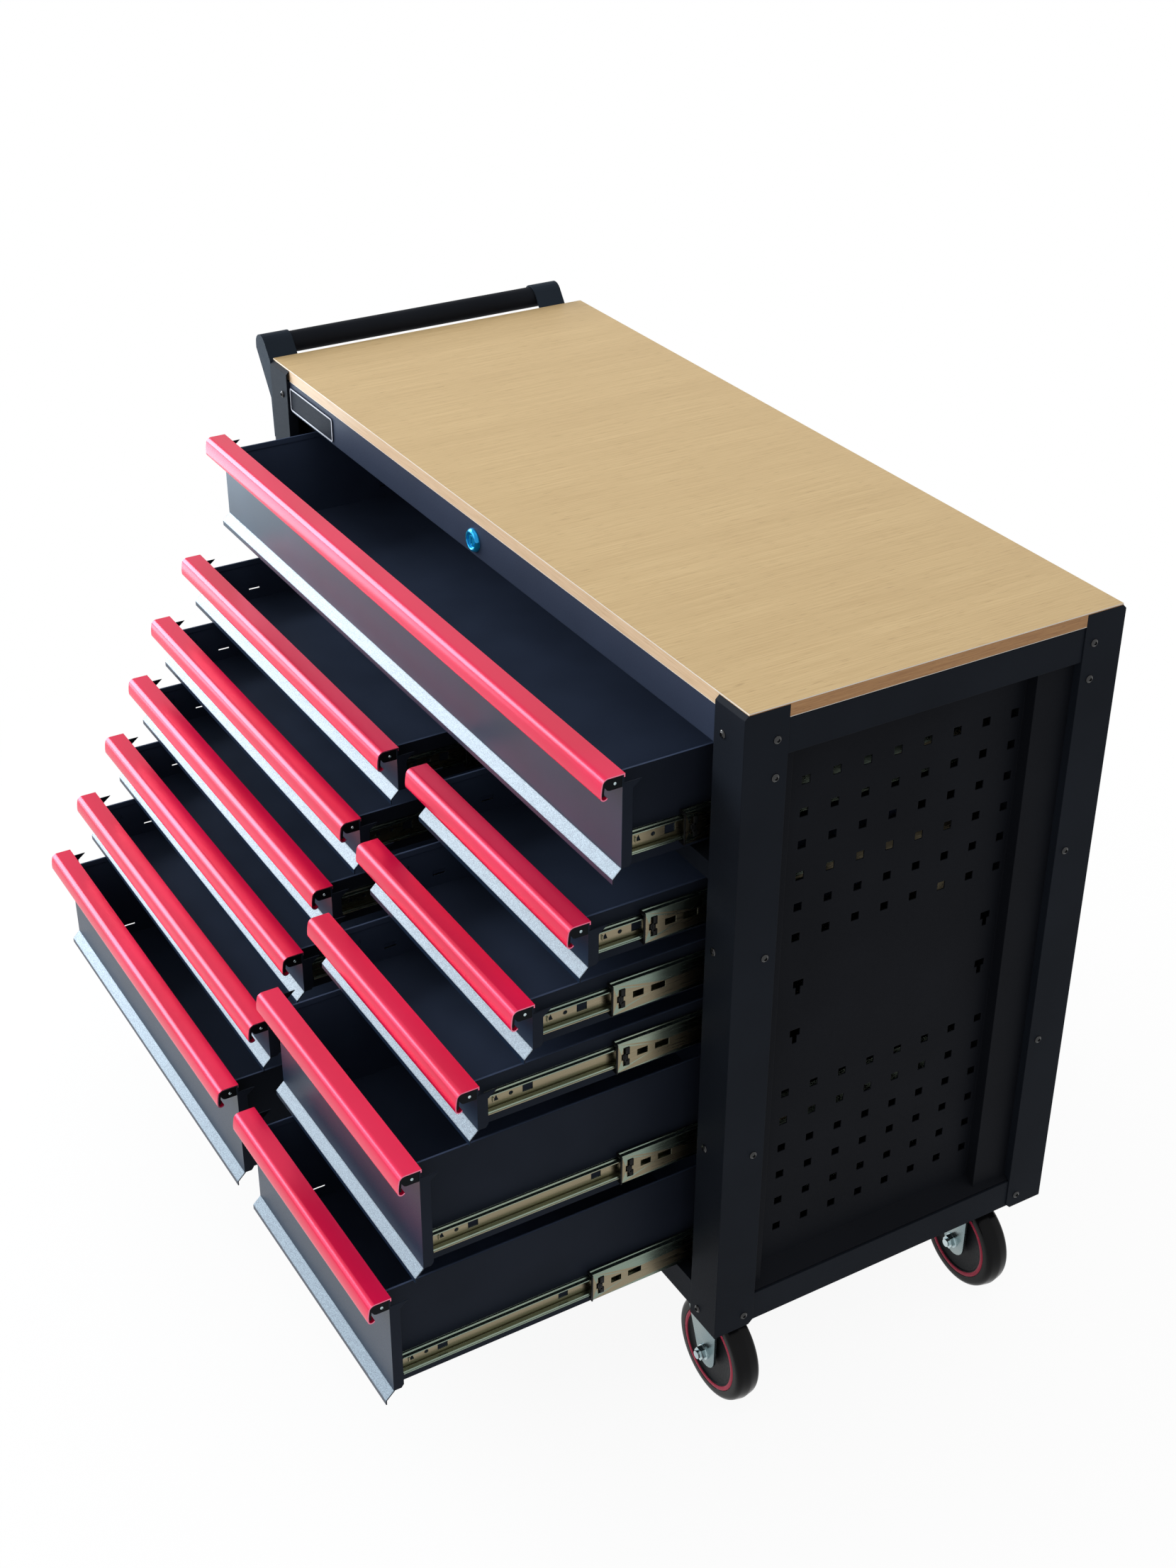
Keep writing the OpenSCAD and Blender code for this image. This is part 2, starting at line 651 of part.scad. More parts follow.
// plain plate with rounded corners at the left end of the top rail
function rounded(x, z, w, h, r) = concat(
  arc([x + w - r, z + r], r, -90, 0, 4),
  arc([x + w - r, z + h - r], r, 0, 90, 4),
  arc([x + r, z + h - r], r, 90, 180, 4),
  arc([x + r, z + r], r, 180, 270, 4));
module badge_plate() color([0.1, 0.1, 0.12]) placed() {
  x0 = -hw + post_w + 2;
  z0 = rail_lo + 3;
  difference() {
    along_y(-1.5, 1.5) polygon(rounded(x0, z0, 127, 31, 4));
    along_y(-2, 1) polygon(rounded(x0 + 2, z0 + 2, 123, 27, 2));
  }
}

// ------------------------------------------------------------- push handle
gz = body_h + grip_up;
gx = -hw - grip_out;
// gusset that widens upwards and wraps round the end of the grip
module gusset() polygon(concat(
  [[-hw - 2, body_h - 108], [-hw - 5, body_h - 55],
   [gx - grip_d/2 - 2, gz - 5]],
  arc([gx, gz], grip_d/2 + 2, 175, 40, 8), [[-hw - 2, body_h - 1]]));

module bracket() {
  // web along the post that leans out and curls over the grip
  along_y(0, bracket_w) strip_of(concat([[-hw - 2, body_h - 108],
    [-hw - 2, body_h - 4]], arc([gx, gz], grip_d/2 + 0.3, 40, 165, 9)),
    -2);
  along_y(0, 2) gusset();
}

module handle_brackets() color([0.3, 0.33, 0.38]) placed() {
  translate([0, -post_proud, 0]) bracket();
  translate([0, top_d - bracket_rear, 0]) mirror([0, 1, 0]) bracket();
}

module grip_tube() color([0.12, 0.13, 0.15]) placed()
  translate([gx, 2 - post_proud, gz]) rotate([-90, 0, 0]) difference() {
    cylinder(d = grip_d, h = top_d - bracket_rear - 4 + post_proud);
    translate([0, 0, -1]) cylinder(d = grip_d - 4,
      h = top_d + 10);
  }

// ------------------------------------------------------------------ screws
// button head with a hexagon socket, its flat face at z = 0
module button(d = 9) difference() {
  rotate_extrude() polygon([[0, 0], [d/2, 0], [d/2, 0.5], [d*0.42, 1.5],
    [d*0.27, 2.2], [0, 2.4]]);
  translate([0, 0, 1]) cylinder(d = d*0.4, h = 3, $fn = 6);
}
screw_z = [17, 252, 510, body_h - 37];
module screws() color([0.25, 0.25, 0.26]) placed() {
  for (sx = [-1, 1]) {
    for (z = screw_z) {
      translate([sx*(hw - 35), -post_proud, z]) rotate([90, 0, 0])
        button();
      translate([sx*(hw - 35), y_back, z]) rotate([-90, 0, 0]) button();
    }
    for (y = [34, top_d - 34], z = concat(screw_z, [body_h - 79]))
      if (sx > 0 || z < body_h - 108)
        translate([sx*hw, y, z]) rotate([0, sx*90, 0]) button();
  }
  // screws through the bracket webs
  for (y = [12, top_d - bracket_rear - 12], z = [37, 79])
    translate([-hw - 2, y, body_h - z]) rotate([0, -90, 0]) button();
}

// ----------------------------------------------------------------- casters
plate_z = floor_z - 3;
fork_in = wheel_w/2 + 3;
// leg of a rigid fork, seen along the axle, whose centre is the origin
module rigid_leg() polygon(concat([[20, axle_drop + 12], [20, 0]],
  arc([3, -1], 17, 0, -160, 10),
  [[-34, axle_drop - 25], [-44, axle_drop + 2], [-44, axle_drop + 12]]));

module axle_bolt() rotate([90, 0, 0]) {
  translate([0, 0, -fork_in - 4]) cylinder(d = 10, h = 2*fork_in + 18);
  translate([0, 0, fork_in + 3]) cylinder(d = 19, h = 1.6);
  translate([0, 0, fork_in + 4.6]) cylinder(d = 17, h = 6, $fn = 6);
  translate([0, 0, -fork_in - 9]) cylinder(d = 17, h = 6, $fn = 6);
}

module mount_plate() difference() {
  translate([-45, -35, plate_z]) cube([90, 70, 3]);
  for (x = [-34, 34], y = [-26, 26]) translate([x, y, plate_z - 1])
    cylinder(d = 9, h = 5, $fn = 12);
}

module rigid_fork() {
  mount_plate();
  translate([0, 0, -axle_drop]) {
    for (s = [0, 1]) mirror([0, s, 0]) {
      difference() {
        along_y(fork_in, 3) rigid_leg();
        rotate([-90, 0, 0]) cylinder(d = 10, h = 60);
      }
      translate([-44, fork_in - 3, axle_drop + 9]) cube([64, 6, 3.01]);
    }
    translate([-44, -fork_in, axle_drop + 12]) cube([64, 2*fork_in, 3]);
    axle_bolt();
  }
}

// fixed half of a swivel caster: plate and raceway cup
module swivel_mount() {
  mount_plate();
  translate([0, 0, plate_z - 4]) rotate_extrude() polygon([[0, 4],
    [30, 4], [30, 2], [27, 0.4], [0, 0.4]]);
}

module caster_mounts() color([0.62, 0.66, 0.67]) placed() {
  for (y = [caster_front, top_d - caster_rear]) {
    translate([hw - caster_x, y, 0]) rigid_fork();
    translate([-hw + caster_x, y, 0]) swivel_mount();
  }
}

// turning half: crown, two raked legs and the axle, trailing towards +X
module swivel_leg() polygon(concat([[-20, 5], [20, 5], [26, -4],
  [trail + 17, -axle_drop + 8]],
  arc([trail, -axle_drop], 17, 20, -200, 12), [[-20, -12]]));

module swivel_fork() {
  difference() {
    union() {
      translate([0, 0, 4]) rotate_extrude() polygon([[0, 0], [31, 0],
        [31, 3.5], [28, 6.9], [0, 6.9]]);
      for (s = [0, 1]) mirror([0, s, 0]) along_y(fork_in, 3)
        swivel_leg();
    }
    translate([trail, -60, -axle_drop]) rotate([-90, 0, 0])
      cylinder(d = 10, h = 120);
  }
  translate([trail, 0, -axle_drop]) axle_bolt();
  along_y(-fork_in - 4, 2*fork_in + 8) translate(brake_pin)
    circle(d = 6);
}

// foot pedal hinged on a pin between the legs, 6 mm below the top of the
// tyre; pressed 25 degrees down, its cam lobe meets the tyre
brake_pin = [-12, wheel_d/2 - axle_drop - 6];
brake_gap = norm(brake_pin - [trail, -axle_drop]) - wheel_d/2;
module brake_pedal() {
  difference() {
    union() {
      along_y(-fork_in + 0.4, 2*fork_in - 0.8) polygon(concat(
        arc(brake_pin, 5, 30, 240, 10),
        arc(brake_pin, brake_gap - 0.4, 262, 298, 4), arc(brake_pin, 5,
        325, 360, 2)));
      along_y(-14, 28) polygon([brake_pin + [-3, 4], brake_pin + [-50, 1],
        brake_pin + [-53, -1.5], brake_pin + [-50, -3],
        brake_pin + [-3, -1]]);
      // raised treads
      for (x = [-48, -42, -36]) along_y(-13, 26) translate(brake_pin +
        [x, -1]) square([2.5, 3.6]);
    }
    along_y(-30, 60) translate(brake_pin) circle(d = 6.4);
  }
}
module brake_pedal_front() color([0.6, 0.08, 0.1]) placed()
  translate([-hw + caster_x, caster_front, 0]) brake_pedal();
module brake_pedal_rear() color([0.6, 0.08, 0.1]) placed()
  translate([-hw + caster_x, top_d - caster_rear, 0]) brake_pedal();

module swivel_fork_front() color([0.62, 0.66, 0.67]) placed()
  translate([-hw + caster_x, caster_front, 0]) swivel_fork();
module swivel_fork_rear() color([0.62, 0.66, 0.67]) placed()
  translate([-hw + caster_x, top_d - caster_rear, 0]) swivel_fork();

// wheel: rounded tyre, thin ring groove and a hub with a bore
module wheel() rotate([90, 0, 0]) {
  r = wheel_d/2;
  w = wheel_w/2;
  difference() {
    rotate_extrude($fn = 96) polygon(concat(
      [[5.4, -fork_in + 0.6], [12, -fork_in + 0.6], [13, -w + 3],
       [r*0.66, -w + 3], [r*0.69, -w], [r*0.9, -w]],
      arc([r - 9, -w + 9], 9, -60, 0, 4),
      arc([r - 9, w - 9], 9, 0, 60, 4),
      [[r*0.9, w], [r*0.69, w], [r*0.66, w - 3], [13, w - 3],
       [12, fork_in - 0.6], [5.4, fork_in - 0.6]]));
    // shallow pockets between the hub ribs
    for (a = [0:60:300], s = [-1, 1]) rotate([0, 0, a])
      translate([0, 0, s > 0 ? w - 7 : -w + 2]) linear_extrude(5)
        polygon([[18, -6], [38, -15], [40, 0], [38, 15], [18, 6]]);
  }
}

module wheel_at(x, y) color([0.05, 0.05, 0.055]) placed()
  translate([x, y, -axle_drop]) wheel();
module wheel_front_right() wheel_at(hw - caster_x, caster_front);
module wheel_rear_right() wheel_at(hw - caster_x, top_d - caster_rear);
module wheel_front_left() wheel_at(-hw + caster_x + trail, caster_front);
module wheel_rear_left() wheel_at(-hw + caster_x + trail,
                                  top_d - caster_rear);

worktop();
corner_posts();
side_panel_left();
side_panel_right();
back_panel();
top_frame();
inner_frame();
base_tray();
slide_outers();
lock_body();
lock_core();
badge_plate();
handle_brackets();
grip_tube();
screws();
caster_mounts();
swivel_fork_front();
swivel_fork_rear();
wheel_front_right();
wheel_rear_right();
wheel_front_left();
wheel_rear_left();
brake_pedal_front();
brake_pedal_rear();
drawer_wide();
drawer_l1();
drawer_l2();
drawer_l3();
drawer_l4();
drawer_l5();
drawer_l6();
drawer_r1();
drawer_r2();
drawer_r3();
drawer_r4();
drawer_r5();
pull_wide();
pull_l1();
pull_l2();
pull_l3();
pull_l4();
pull_l5();
pull_l6();
pull_r1();
pull_r2();
pull_r3();
pull_r4();
pull_r5();
slide_mid_wide();
slide_mid_l1();
slide_mid_l2();
slide_mid_l3();
slide_mid_l4();
slide_mid_l5();
slide_mid_l6();
slide_mid_r1();
slide_mid_r2();
slide_mid_r3();
slide_mid_r4();
slide_mid_r5();
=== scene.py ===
# %% [markdown]
# # A rolling tool chest, from bare metal to finished paint
#
# The construction arrives ready: every sheet, slide and caster is already
# modelled at its real size and in its place. This lesson dresses it. It gives
# each surface the finish of the real thing, and it remakes the few pieces
# whose look depends on a smooth curve, such as the tyres and the drawer pulls.
# Each step first says what the piece is, then how it is made.

# %% Load the chest
import math
import bmesh
import bpy
from mathutils import Matrix, Vector


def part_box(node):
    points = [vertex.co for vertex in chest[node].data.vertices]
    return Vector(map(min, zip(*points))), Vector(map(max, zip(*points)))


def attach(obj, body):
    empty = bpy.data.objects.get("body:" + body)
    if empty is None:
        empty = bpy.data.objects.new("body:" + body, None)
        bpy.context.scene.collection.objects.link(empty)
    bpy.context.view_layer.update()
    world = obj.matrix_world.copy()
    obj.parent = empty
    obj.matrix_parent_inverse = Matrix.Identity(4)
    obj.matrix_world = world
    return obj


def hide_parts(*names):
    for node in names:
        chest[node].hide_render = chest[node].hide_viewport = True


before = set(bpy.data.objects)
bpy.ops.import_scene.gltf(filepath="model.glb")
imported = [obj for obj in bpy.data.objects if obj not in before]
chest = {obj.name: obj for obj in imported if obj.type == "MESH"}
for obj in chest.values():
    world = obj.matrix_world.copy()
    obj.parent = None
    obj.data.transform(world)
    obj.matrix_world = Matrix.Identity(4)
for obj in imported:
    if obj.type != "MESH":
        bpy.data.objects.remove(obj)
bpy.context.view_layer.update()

# %% [markdown]
# ## The drawers' names
#
# The chest has one full-width drawer and two columns under it. Many pieces
# come once per drawer, so one list of names drives every loop, and each
# drawer's place is read from its own solids instead of being typed in again.

# %% Drawer names and a few lengths
LEFT = ["l1", "l2", "l3", "l4", "l5", "l6"]
RIGHT = ["r1", "r2", "r3", "r4", "r5"]
DRAWERS = ["wide"] + LEFT + RIGHT
MM = 0.001
PULL_DEEP = 24.6  # depth of a pull in millimetres, from face to drawer front


def span(name):
    """The low and the high corner of a node's box."""
    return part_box(name)


def middle_z(name):
    low, high = span(name)
    return (low.z + high.z) / 2


def front_plane(drawer):
    """Y of the flat front, which lies one pull's depth behind its face."""
    return span("pull_" + drawer)[0].y + PULL_DEEP * MM


for name in ("wide", "l6", "r5"):
    print(name, "front at", round(front_plane(name), 4))

# %% [markdown]
# ## Building a material from nodes
#
# Every finish here is a Principled shader fed by a few noise textures. Writing
# the links one by one hides the idea, so two small helpers do it: one adds a
# node and plugs values or links into it, the other starts a material and
# returns its node tree, its shader and its object coordinates.


# %% Node helpers
def add(tree, kind, sockets=None, **settings):
    """Adds a node; each socket takes a value or a link."""
    made = tree.nodes.new(kind)
    for key, value in settings.items():
        setattr(made, key, value)
    for key, value in (sockets or {}).items():
        if isinstance(value, bpy.types.NodeSocket):
            tree.links.new(value, made.inputs[key])
        else:
            made.inputs[key].default_value = value
    return made


def start(name, **sockets):
    """A material with its tree, its shader and its object coordinates."""
    material = bpy.data.materials.new(name)
    material.use_nodes = True
    tree = material.node_tree
    shader = tree.nodes["Principled BSDF"]
    for key, value in sockets.items():
        shader.inputs[key.replace("_", " ")].default_value = value
    place = add(tree, "ShaderNodeTexCoord").outputs["Object"]
    return material, tree, shader, place


def colour(r, g, b):
    """Screen values from 0 to 255 as the linear colour that a shader takes."""
    return tuple(((c / 255 + 0.055) / 1.055) ** 2.4 if c > 10 else
                 c / 255 / 12.92 for c in (r, g, b)) + (1.0,)


def noise(tree, place, scale, detail=2.0, stretch=(1, 1, 1), rough=0.5):
    spread = add(tree, "ShaderNodeMapping",
                 {"Vector": place, "Scale": stretch})
    return add(tree, "ShaderNodeTexNoise",
               {"Vector": spread.outputs[0], "Scale": scale,
                "Detail": detail, "Roughness": rough}).outputs["Fac"]


def ramp(tree, value, low, high, to_low=0.0, to_high=1.0):
    """Stretches the range low to high onto another range."""
    return add(tree, "ShaderNodeMapRange",
               {"Value": value, "From Min": low, "From Max": high,
                "To Min": to_low, "To Max": to_high}).outputs[0]


def mix(tree, factor, a, b):
    made = add(tree, "ShaderNodeMix", data_type="RGBA")
    for key, value in zip((0, 6, 7), (factor, a, b)):
        if isinstance(value, bpy.types.NodeSocket):
            tree.links.new(value, made.inputs[key])
        else:
            made.inputs[key].default_value = value
    return made.outputs[2]


def bump(tree, height, distance, strength=1.0, under=None):
    """A bump that may lie on top of another normal."""
    sockets = {"Height": height, "Distance": distance,
               "Strength": strength}
    if under is not None:
        sockets["Normal"] = under
    return add(tree, "ShaderNodeBump", sockets).outputs[0]


def soft_edges(tree, radius):
    """Rounds the shading of sharp edges, not their shape."""
    return add(tree, "ShaderNodeBevel", {"Radius": radius},
               samples=4).outputs[0]


print("helpers ready")

# %% [markdown]
# ## Powder coat
#
# The posts, rails and end panels are powder coated: the dry paint melts into a
# skin with a fine pebble texture that scatters light. A dark blue-black with a
# middling roughness and a fine noise in the bump gives the pebbles, and a slow
# noise clouds the colour a little. The front face of the top rail gets a
# lighter, bluer copy of the coat, a painted sheen, and a little more gloss.
# The handle's brackets get a lighter, bluer copy too: painted light where they
# reach out towards the window. The panels get a darker copy: painted shade.
# The folded sheet has small bend radii, and the Bevel node rounds the shading
# of its sharp edges so that they catch a line of light.


# %% Powder coats of the frame, panels, grip, rail and brackets
def powder_coat(name, tint, grain=900.0, depth=0.00012, level=0.03):
    material, tree, shader, place = start(name, Specular_IOR_Level=level)
    pebbles = noise(tree, place, grain, 3.0, rough=0.6)
    cloud = noise(tree, place, 9.0, 2.0)
    dark = tuple(c * 0.8 for c in tint[:3]) + (1.0,)
    tree.links.new(mix(tree, ramp(tree, cloud, 0.3, 0.7), dark, tint),
                   shader.inputs["Base Color"])
    tree.links.new(ramp(tree, pebbles, 0.3, 0.7, 0.42, 0.58),
                   shader.inputs["Roughness"])
    normal = bump(tree, pebbles, depth, 0.6, soft_edges(tree, 0.0012))
    tree.links.new(normal, shader.inputs["Normal"])
    return material


frame_coat = powder_coat("frame_powder_coat", colour(27, 31, 38))
# Darker than the frame's coat: painted shade on the panels.
panel_coat_painted_shade = powder_coat("panel_powder_coat_painted_shade", colour(22, 24, 29), 700.0)
grip_coat = powder_coat("grip_powder_coat", colour(26, 29, 35), 1100.0)
# Lighter and bluer than the frame's coat: painted sheen on the rail's face.
rail_coat_painted_sheen = powder_coat("rail_powder_coat_painted_sheen", colour(46, 55, 74), level=0.12)
# Lighter and bluer than the frame's coat: painted light on the brackets.
bracket_coat_painted_light = powder_coat("bracket_powder_coat_painted_light", colour(38, 46, 56))
print("powder coats:", frame_coat.name, panel_coat_painted_shade.name, rail_coat_painted_sheen.name)

# %% [markdown]
# ## Drawer paint
#
# The drawers are painted smoother than the frame. A front works like a dim
# mirror: seen at a slant it picks up the pale floor and the red pull of the
# drawer below, and so looks grey and purple while the sides look black. A low
# roughness does part of this. The rest is painted: the fronts get a bluer base
# colour than the sides, and the gloss of every drawer coat is tinted blue, as
# painted reflection of the cool window light. Behind the front the same paint
# is thinner and duller, so the sides and the inside get a lower specular
# level. The inside is given a much lighter bluish colour than the sides:
# painted light inside the boxes. A faint large-scale ripple keeps the
# reflection from being perfect, as on real rolled sheet.


# %% Semi-gloss paint for the drawers
def drawer_paint(name, tint, rough_low, rough_high, level):
    # The blue tint on the gloss is painted reflection of the cool window
    # light.
    material, tree, shader, place = start(
        name, Specular_IOR_Level=level, Specular_Tint=(0.6, 0.84, 1.0, 1.0))
    fine = noise(tree, place, 1400.0, 2.0)
    wave = noise(tree, place, 14.0, 1.0)
    thin = tuple(c * 0.85 for c in tint[:3]) + (1.0,)
    tree.links.new(mix(tree, ramp(tree, wave, 0.35, 0.65), thin, tint),
                   shader.inputs["Base Color"])
    tree.links.new(ramp(tree, fine, 0.3, 0.7, rough_low, rough_high),
                   shader.inputs["Roughness"])
    ripple = bump(tree, wave, 0.0006, 0.35, soft_edges(tree, 0.0010))
    tree.links.new(bump(tree, fine, 0.00002, 0.5, ripple),
                   shader.inputs["Normal"])
    return material


# The fronts' bluer base colour is painted reflection.
drawer_front_painted_reflection = drawer_paint("drawer_front_painted_reflection", colour(24, 38, 58), 0.3, 0.4,
                            0.33)
drawer_side = drawer_paint("drawer_side", colour(28, 32, 42), 0.4, 0.5, 0.05)
# Much lighter than the side paint: painted light inside the boxes.
drawer_inside_painted_light = drawer_paint("drawer_inside_painted_light", colour(62, 73, 96), 0.4, 0.5,
                             0.06)
cap_black = drawer_paint("cap_plastic", colour(13, 13, 15), 0.38, 0.46, 0.06)
print("drawer paint:", drawer_front_painted_reflection.name, drawer_side.name)


# %% [markdown]
# ## The lip's painted sparkle
#
# Each drawer front ends in a lip that flares towards the light and catches
# it as a band of small glints. That light is painted into the lip's own
# finish: noise mixes pale and darker grains of blue-grey as painted glints,
# a finer one strews dark specks over them, and a shallow bump lets the gloss
# break into grains.


# %% Painted glints on the flared lips
def painted_lip_glints():
    material, tree, shader, place = start(
        "lip_painted_glints", Specular_IOR_Level=0.5, Metallic=0.1)
    grains = noise(tree, place, 900.0, 2.0, rough=0.7)
    speck = noise(tree, place, 1300.0, 1.0)
    # The pale and darker blue-grey grains are painted glints.
    shade = mix(tree, ramp(tree, grains, 0.34, 0.64),
                colour(98, 112, 126), colour(148, 168, 182))
    tree.links.new(mix(tree, ramp(tree, speck, 0.6, 0.68, 0.0, 0.45), shade,
                       colour(60, 68, 82)), shader.inputs["Base Color"])
    tree.links.new(ramp(tree, speck, 0.3, 0.7, 0.25, 0.5),
                   shader.inputs["Roughness"])
    tree.links.new(bump(tree, grains, 0.0001, 0.7,
                        soft_edges(tree, 0.0022)),
                   shader.inputs["Normal"])
    return material


lip_coat_painted_glints = painted_lip_glints()
print("lip:", lip_coat_painted_glints.name)

# %% [markdown]
# ## Oak laminate
#
# The worktop is a board with a printed oak skin. Its grain is thousands of
# fine straight streaks that run from front to back. Noise stretched a hundred
# times along Y gives streaks, a second coarser layer gives the broad bands of
# lighter and darker wood, and short dark pores sit in between. The front edge
# band is painted paler and pinker, which is painted light, and the end bands
# browner and darker, which is painted shade. Where the skin meets the edge a
# white line of the backing shows.


# %% Laminate and its edge bands
board_low, board_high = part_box("worktop")


def oak(name, pale, deep, pore, along=(1, 0.012, 1), lined=False):
    material, tree, shader, place = start(name, Specular_IOR_Level=0.3)
    streak = noise(tree, place, 620.0, 3.0, along, 0.7)
    band = noise(tree, place, 26.0, 3.0, along, 0.55)
    pores = noise(tree, place, 900.0, 2.0,
                  (along[0], along[1] * 4, along[2]), 0.5)
    tone = mix(tree, ramp(tree, streak, 0.36, 0.64), deep, pale)
    shifted = mix(tree, ramp(tree, band, 0.3, 0.7, 0.0, 0.35), tone,
                  tuple(c * 0.9 for c in deep[:3]) + (1.0,))
    wood = mix(tree, ramp(tree, pores, 0.62, 0.72, 0.0, 0.5), shifted, pore)
    if lined:
        height = add(tree, "ShaderNodeSeparateXYZ",
                     {0: place}).outputs["Z"]
        top = ramp(tree, height, board_high.z - 1.3 * MM,
                   board_high.z - 0.9 * MM)
        foot = ramp(tree, height, board_low.z + 0.7 * MM,
                    board_low.z + 0.4 * MM)
        line = add(tree, "ShaderNodeMath", {0: top, 1: foot},
                   operation="MAXIMUM").outputs[0]
        wood = mix(tree, line, wood, colour(228, 222, 212))
    tree.links.new(wood, shader.inputs["Base Color"])
    tree.links.new(ramp(tree, streak, 0.3, 0.7, 0.4, 0.55),
                   shader.inputs["Roughness"])
    tree.links.new(bump(tree, streak, 0.00006, 0.5),
                   shader.inputs["Normal"])
    return material


oak_top = oak("oak_laminate", colour(208, 181, 134), colour(190, 160, 112),
              colour(150, 120, 80))
# Paler and pinker than the skin: painted light on the front band.
oak_front_painted_light = oak("oak_front_band_painted_light", colour(220, 192, 158),
                colour(204, 174, 138), colour(168, 132, 98), (0.03, 1, 1),
                True)
# Browner and darker: painted shade on the end bands.
oak_end_painted_shade = oak("oak_end_band_painted_shade", colour(186, 142, 96), colour(160, 116, 74),
              colour(112, 78, 48), (1, 0.03, 1), True)
print("laminates:", oak_top.name, oak_front_painted_light.name, oak_end_painted_shade.name)

# %% [markdown]
# ## Red anodised aluminium
#
# The pulls are aluminium extrusions, anodised red. The dye sits in a clear
# skin of oxide: it tints the soft light that comes back from the etched metal
# below, while the surface of the skin reflects the window almost white. So
# this shader is only part metallic, with a plain gloss over it. Drawing
# through the die leaves faint lines along the length, which noise stretched
# along X puts in both the roughness and the bump. The sawn ends are barer
# metal.


# %% Anodised red and bare aluminium
def drawn_metal(name, tint, deeper, rough, lines=(0.004, 1, 1), **sockets):
    material, tree, shader, place = start(name, **sockets)
    drawn = noise(tree, place, 1500.0, 2.0, lines)
    cloud = noise(tree, place, 6.0, 1.0)
    tree.links.new(mix(tree, ramp(tree, cloud, 0.35, 0.65), deeper, tint),
                   shader.inputs["Base Color"])
    tree.links.new(ramp(tree, drawn, 0.3, 0.7, rough * 0.95, rough * 1.05),
                   shader.inputs["Roughness"])
    tree.links.new(bump(tree, drawn, 0.00001, 0.15),
                   shader.inputs["Normal"])
    return material


pull_red = drawn_metal("anodised_red", colour(222, 10, 72),
                       colour(212, 8, 64), 0.23, Metallic=0.3,
                       Specular_IOR_Level=0.45,
                       Specular_Tint=(0.95, 1.0, 0.96, 1.0))
sawn_end = drawn_metal("sawn_aluminium", colour(222, 120, 146),
                       colour(206, 96, 126), 0.3, Metallic=0.9)
print("metals:", pull_red.name, sawn_end.name)

# %% [markdown]
# ## Zinc, chrome and rubber
#
# The slides and caster forks are zinc plated. Plating leaves broad clouds of
# faint yellow and blue on the grey, so two tints are mixed by a soft noise.
# The flat webs of the slides are given a warmer tint than their rolled rims,
# which get a greener grey. The lock is plated bright blue. The tyres are a
# glossy moulded elastomer, the hub inside them a duller plastic.


# %% Plated steel
def plated(name, warm, cool, rough=0.24, scale=22.0, metal=1.0):
    material, tree, shader, place = start(name, Metallic=metal)
    cloud = noise(tree, place, scale, 1.0)
    grain = noise(tree, place, 500.0, 2.0, (1, 0.05, 1))
    tree.links.new(mix(tree, ramp(tree, cloud, 0.35, 0.65), warm, cool),
                   shader.inputs["Base Color"])
    tree.links.new(ramp(tree, grain, 0.3, 0.7, rough * 0.9, rough * 1.2),
                   shader.inputs["Roughness"])
    tree.links.new(bump(tree, grain, 0.00001, 0.4,
                        soft_edges(tree, 0.0004)),
                   shader.inputs["Normal"])
    return material


slide_web = plated("slide_zinc_web", colour(140, 130, 106),
                   colour(140, 130, 108), 0.28, 9.0)
slide_rim = plated("slide_zinc_rim", colour(138, 150, 134),
                   colour(122, 138, 126), 0.24, 9.0)
fork_zinc = plated("fork_zinc", colour(146, 158, 158), colour(122, 140, 144),
                   0.26, 30.0)
chrome = plated("blue_chrome", colour(40, 190, 240), colour(14, 150, 214),
                0.12, 60.0, 0.6)
bolt_zinc = plated("bolt_zinc", colour(200, 214, 216), colour(168, 186, 190),
                   0.18, 80.0)
print("plating:", slide_web.name, fork_zinc.name, chrome.name)


# %% Moulded rubber and plastic
def moulded(name, tint, rough_low, rough_high, grain=500.0, level=0.5):
    material, tree, shader, place = start(name, Specular_IOR_Level=level)
    fine = noise(tree, place, grain, 3.0)
    worn = noise(tree, place, 16.0, 2.0)
    pale = tuple(min(1.0, c * 1.5 + 0.002) for c in tint[:3]) + (1.0,)
    tree.links.new(mix(tree, ramp(tree, worn, 0.5, 0.75, 0.0, 0.5), tint,
                       pale), shader.inputs["Base Color"])
    tree.links.new(ramp(tree, fine, 0.3, 0.7, rough_low, rough_high),
                   shader.inputs["Roughness"])
    tree.links.new(bump(tree, fine, 0.00005, 0.5),
                   shader.inputs["Normal"])
    return material


tyre_rubber = moulded("tyre_rubber", colour(11, 11, 13), 0.14, 0.24, 500.0,
                      0.1)
hub_plastic = moulded("hub_plastic", colour(28, 30, 33), 0.4, 0.55, 500.0,
                      0.1)
ring_red = moulded("ring_red", colour(176, 34, 66), 0.35, 0.5, 500.0, 0.2)
lever_black = moulded("lever_plastic", colour(13, 13, 14), 0.35, 0.5, 500.0,
                      0.15)
screw_black = moulded("screw_black", colour(20, 21, 23), 0.16, 0.26,
                      900.0, 0.5)
pedal_black = moulded("pedal_plastic", colour(20, 20, 22), 0.45, 0.6, 500.0,
                      0.15)
badge_black = moulded("badge_lacquer", colour(20, 24, 34), 0.5, 0.6,
                      500.0, 0.06)
badge_line = moulded("badge_silver", colour(188, 191, 200), 0.35, 0.45, 500.0,
                     0.2)
print("moulded:", tyre_rubber.name, hub_plastic.name)

# %% [markdown]
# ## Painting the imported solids
#
# A solid may need more than one finish: a drawer node holds the painted box,
# the plastic end caps and the zinc slide members. Each face is given a
# material slot by a small rule that looks at where the face lies and which
# way it points. Only the slot numbers change, never the shape.


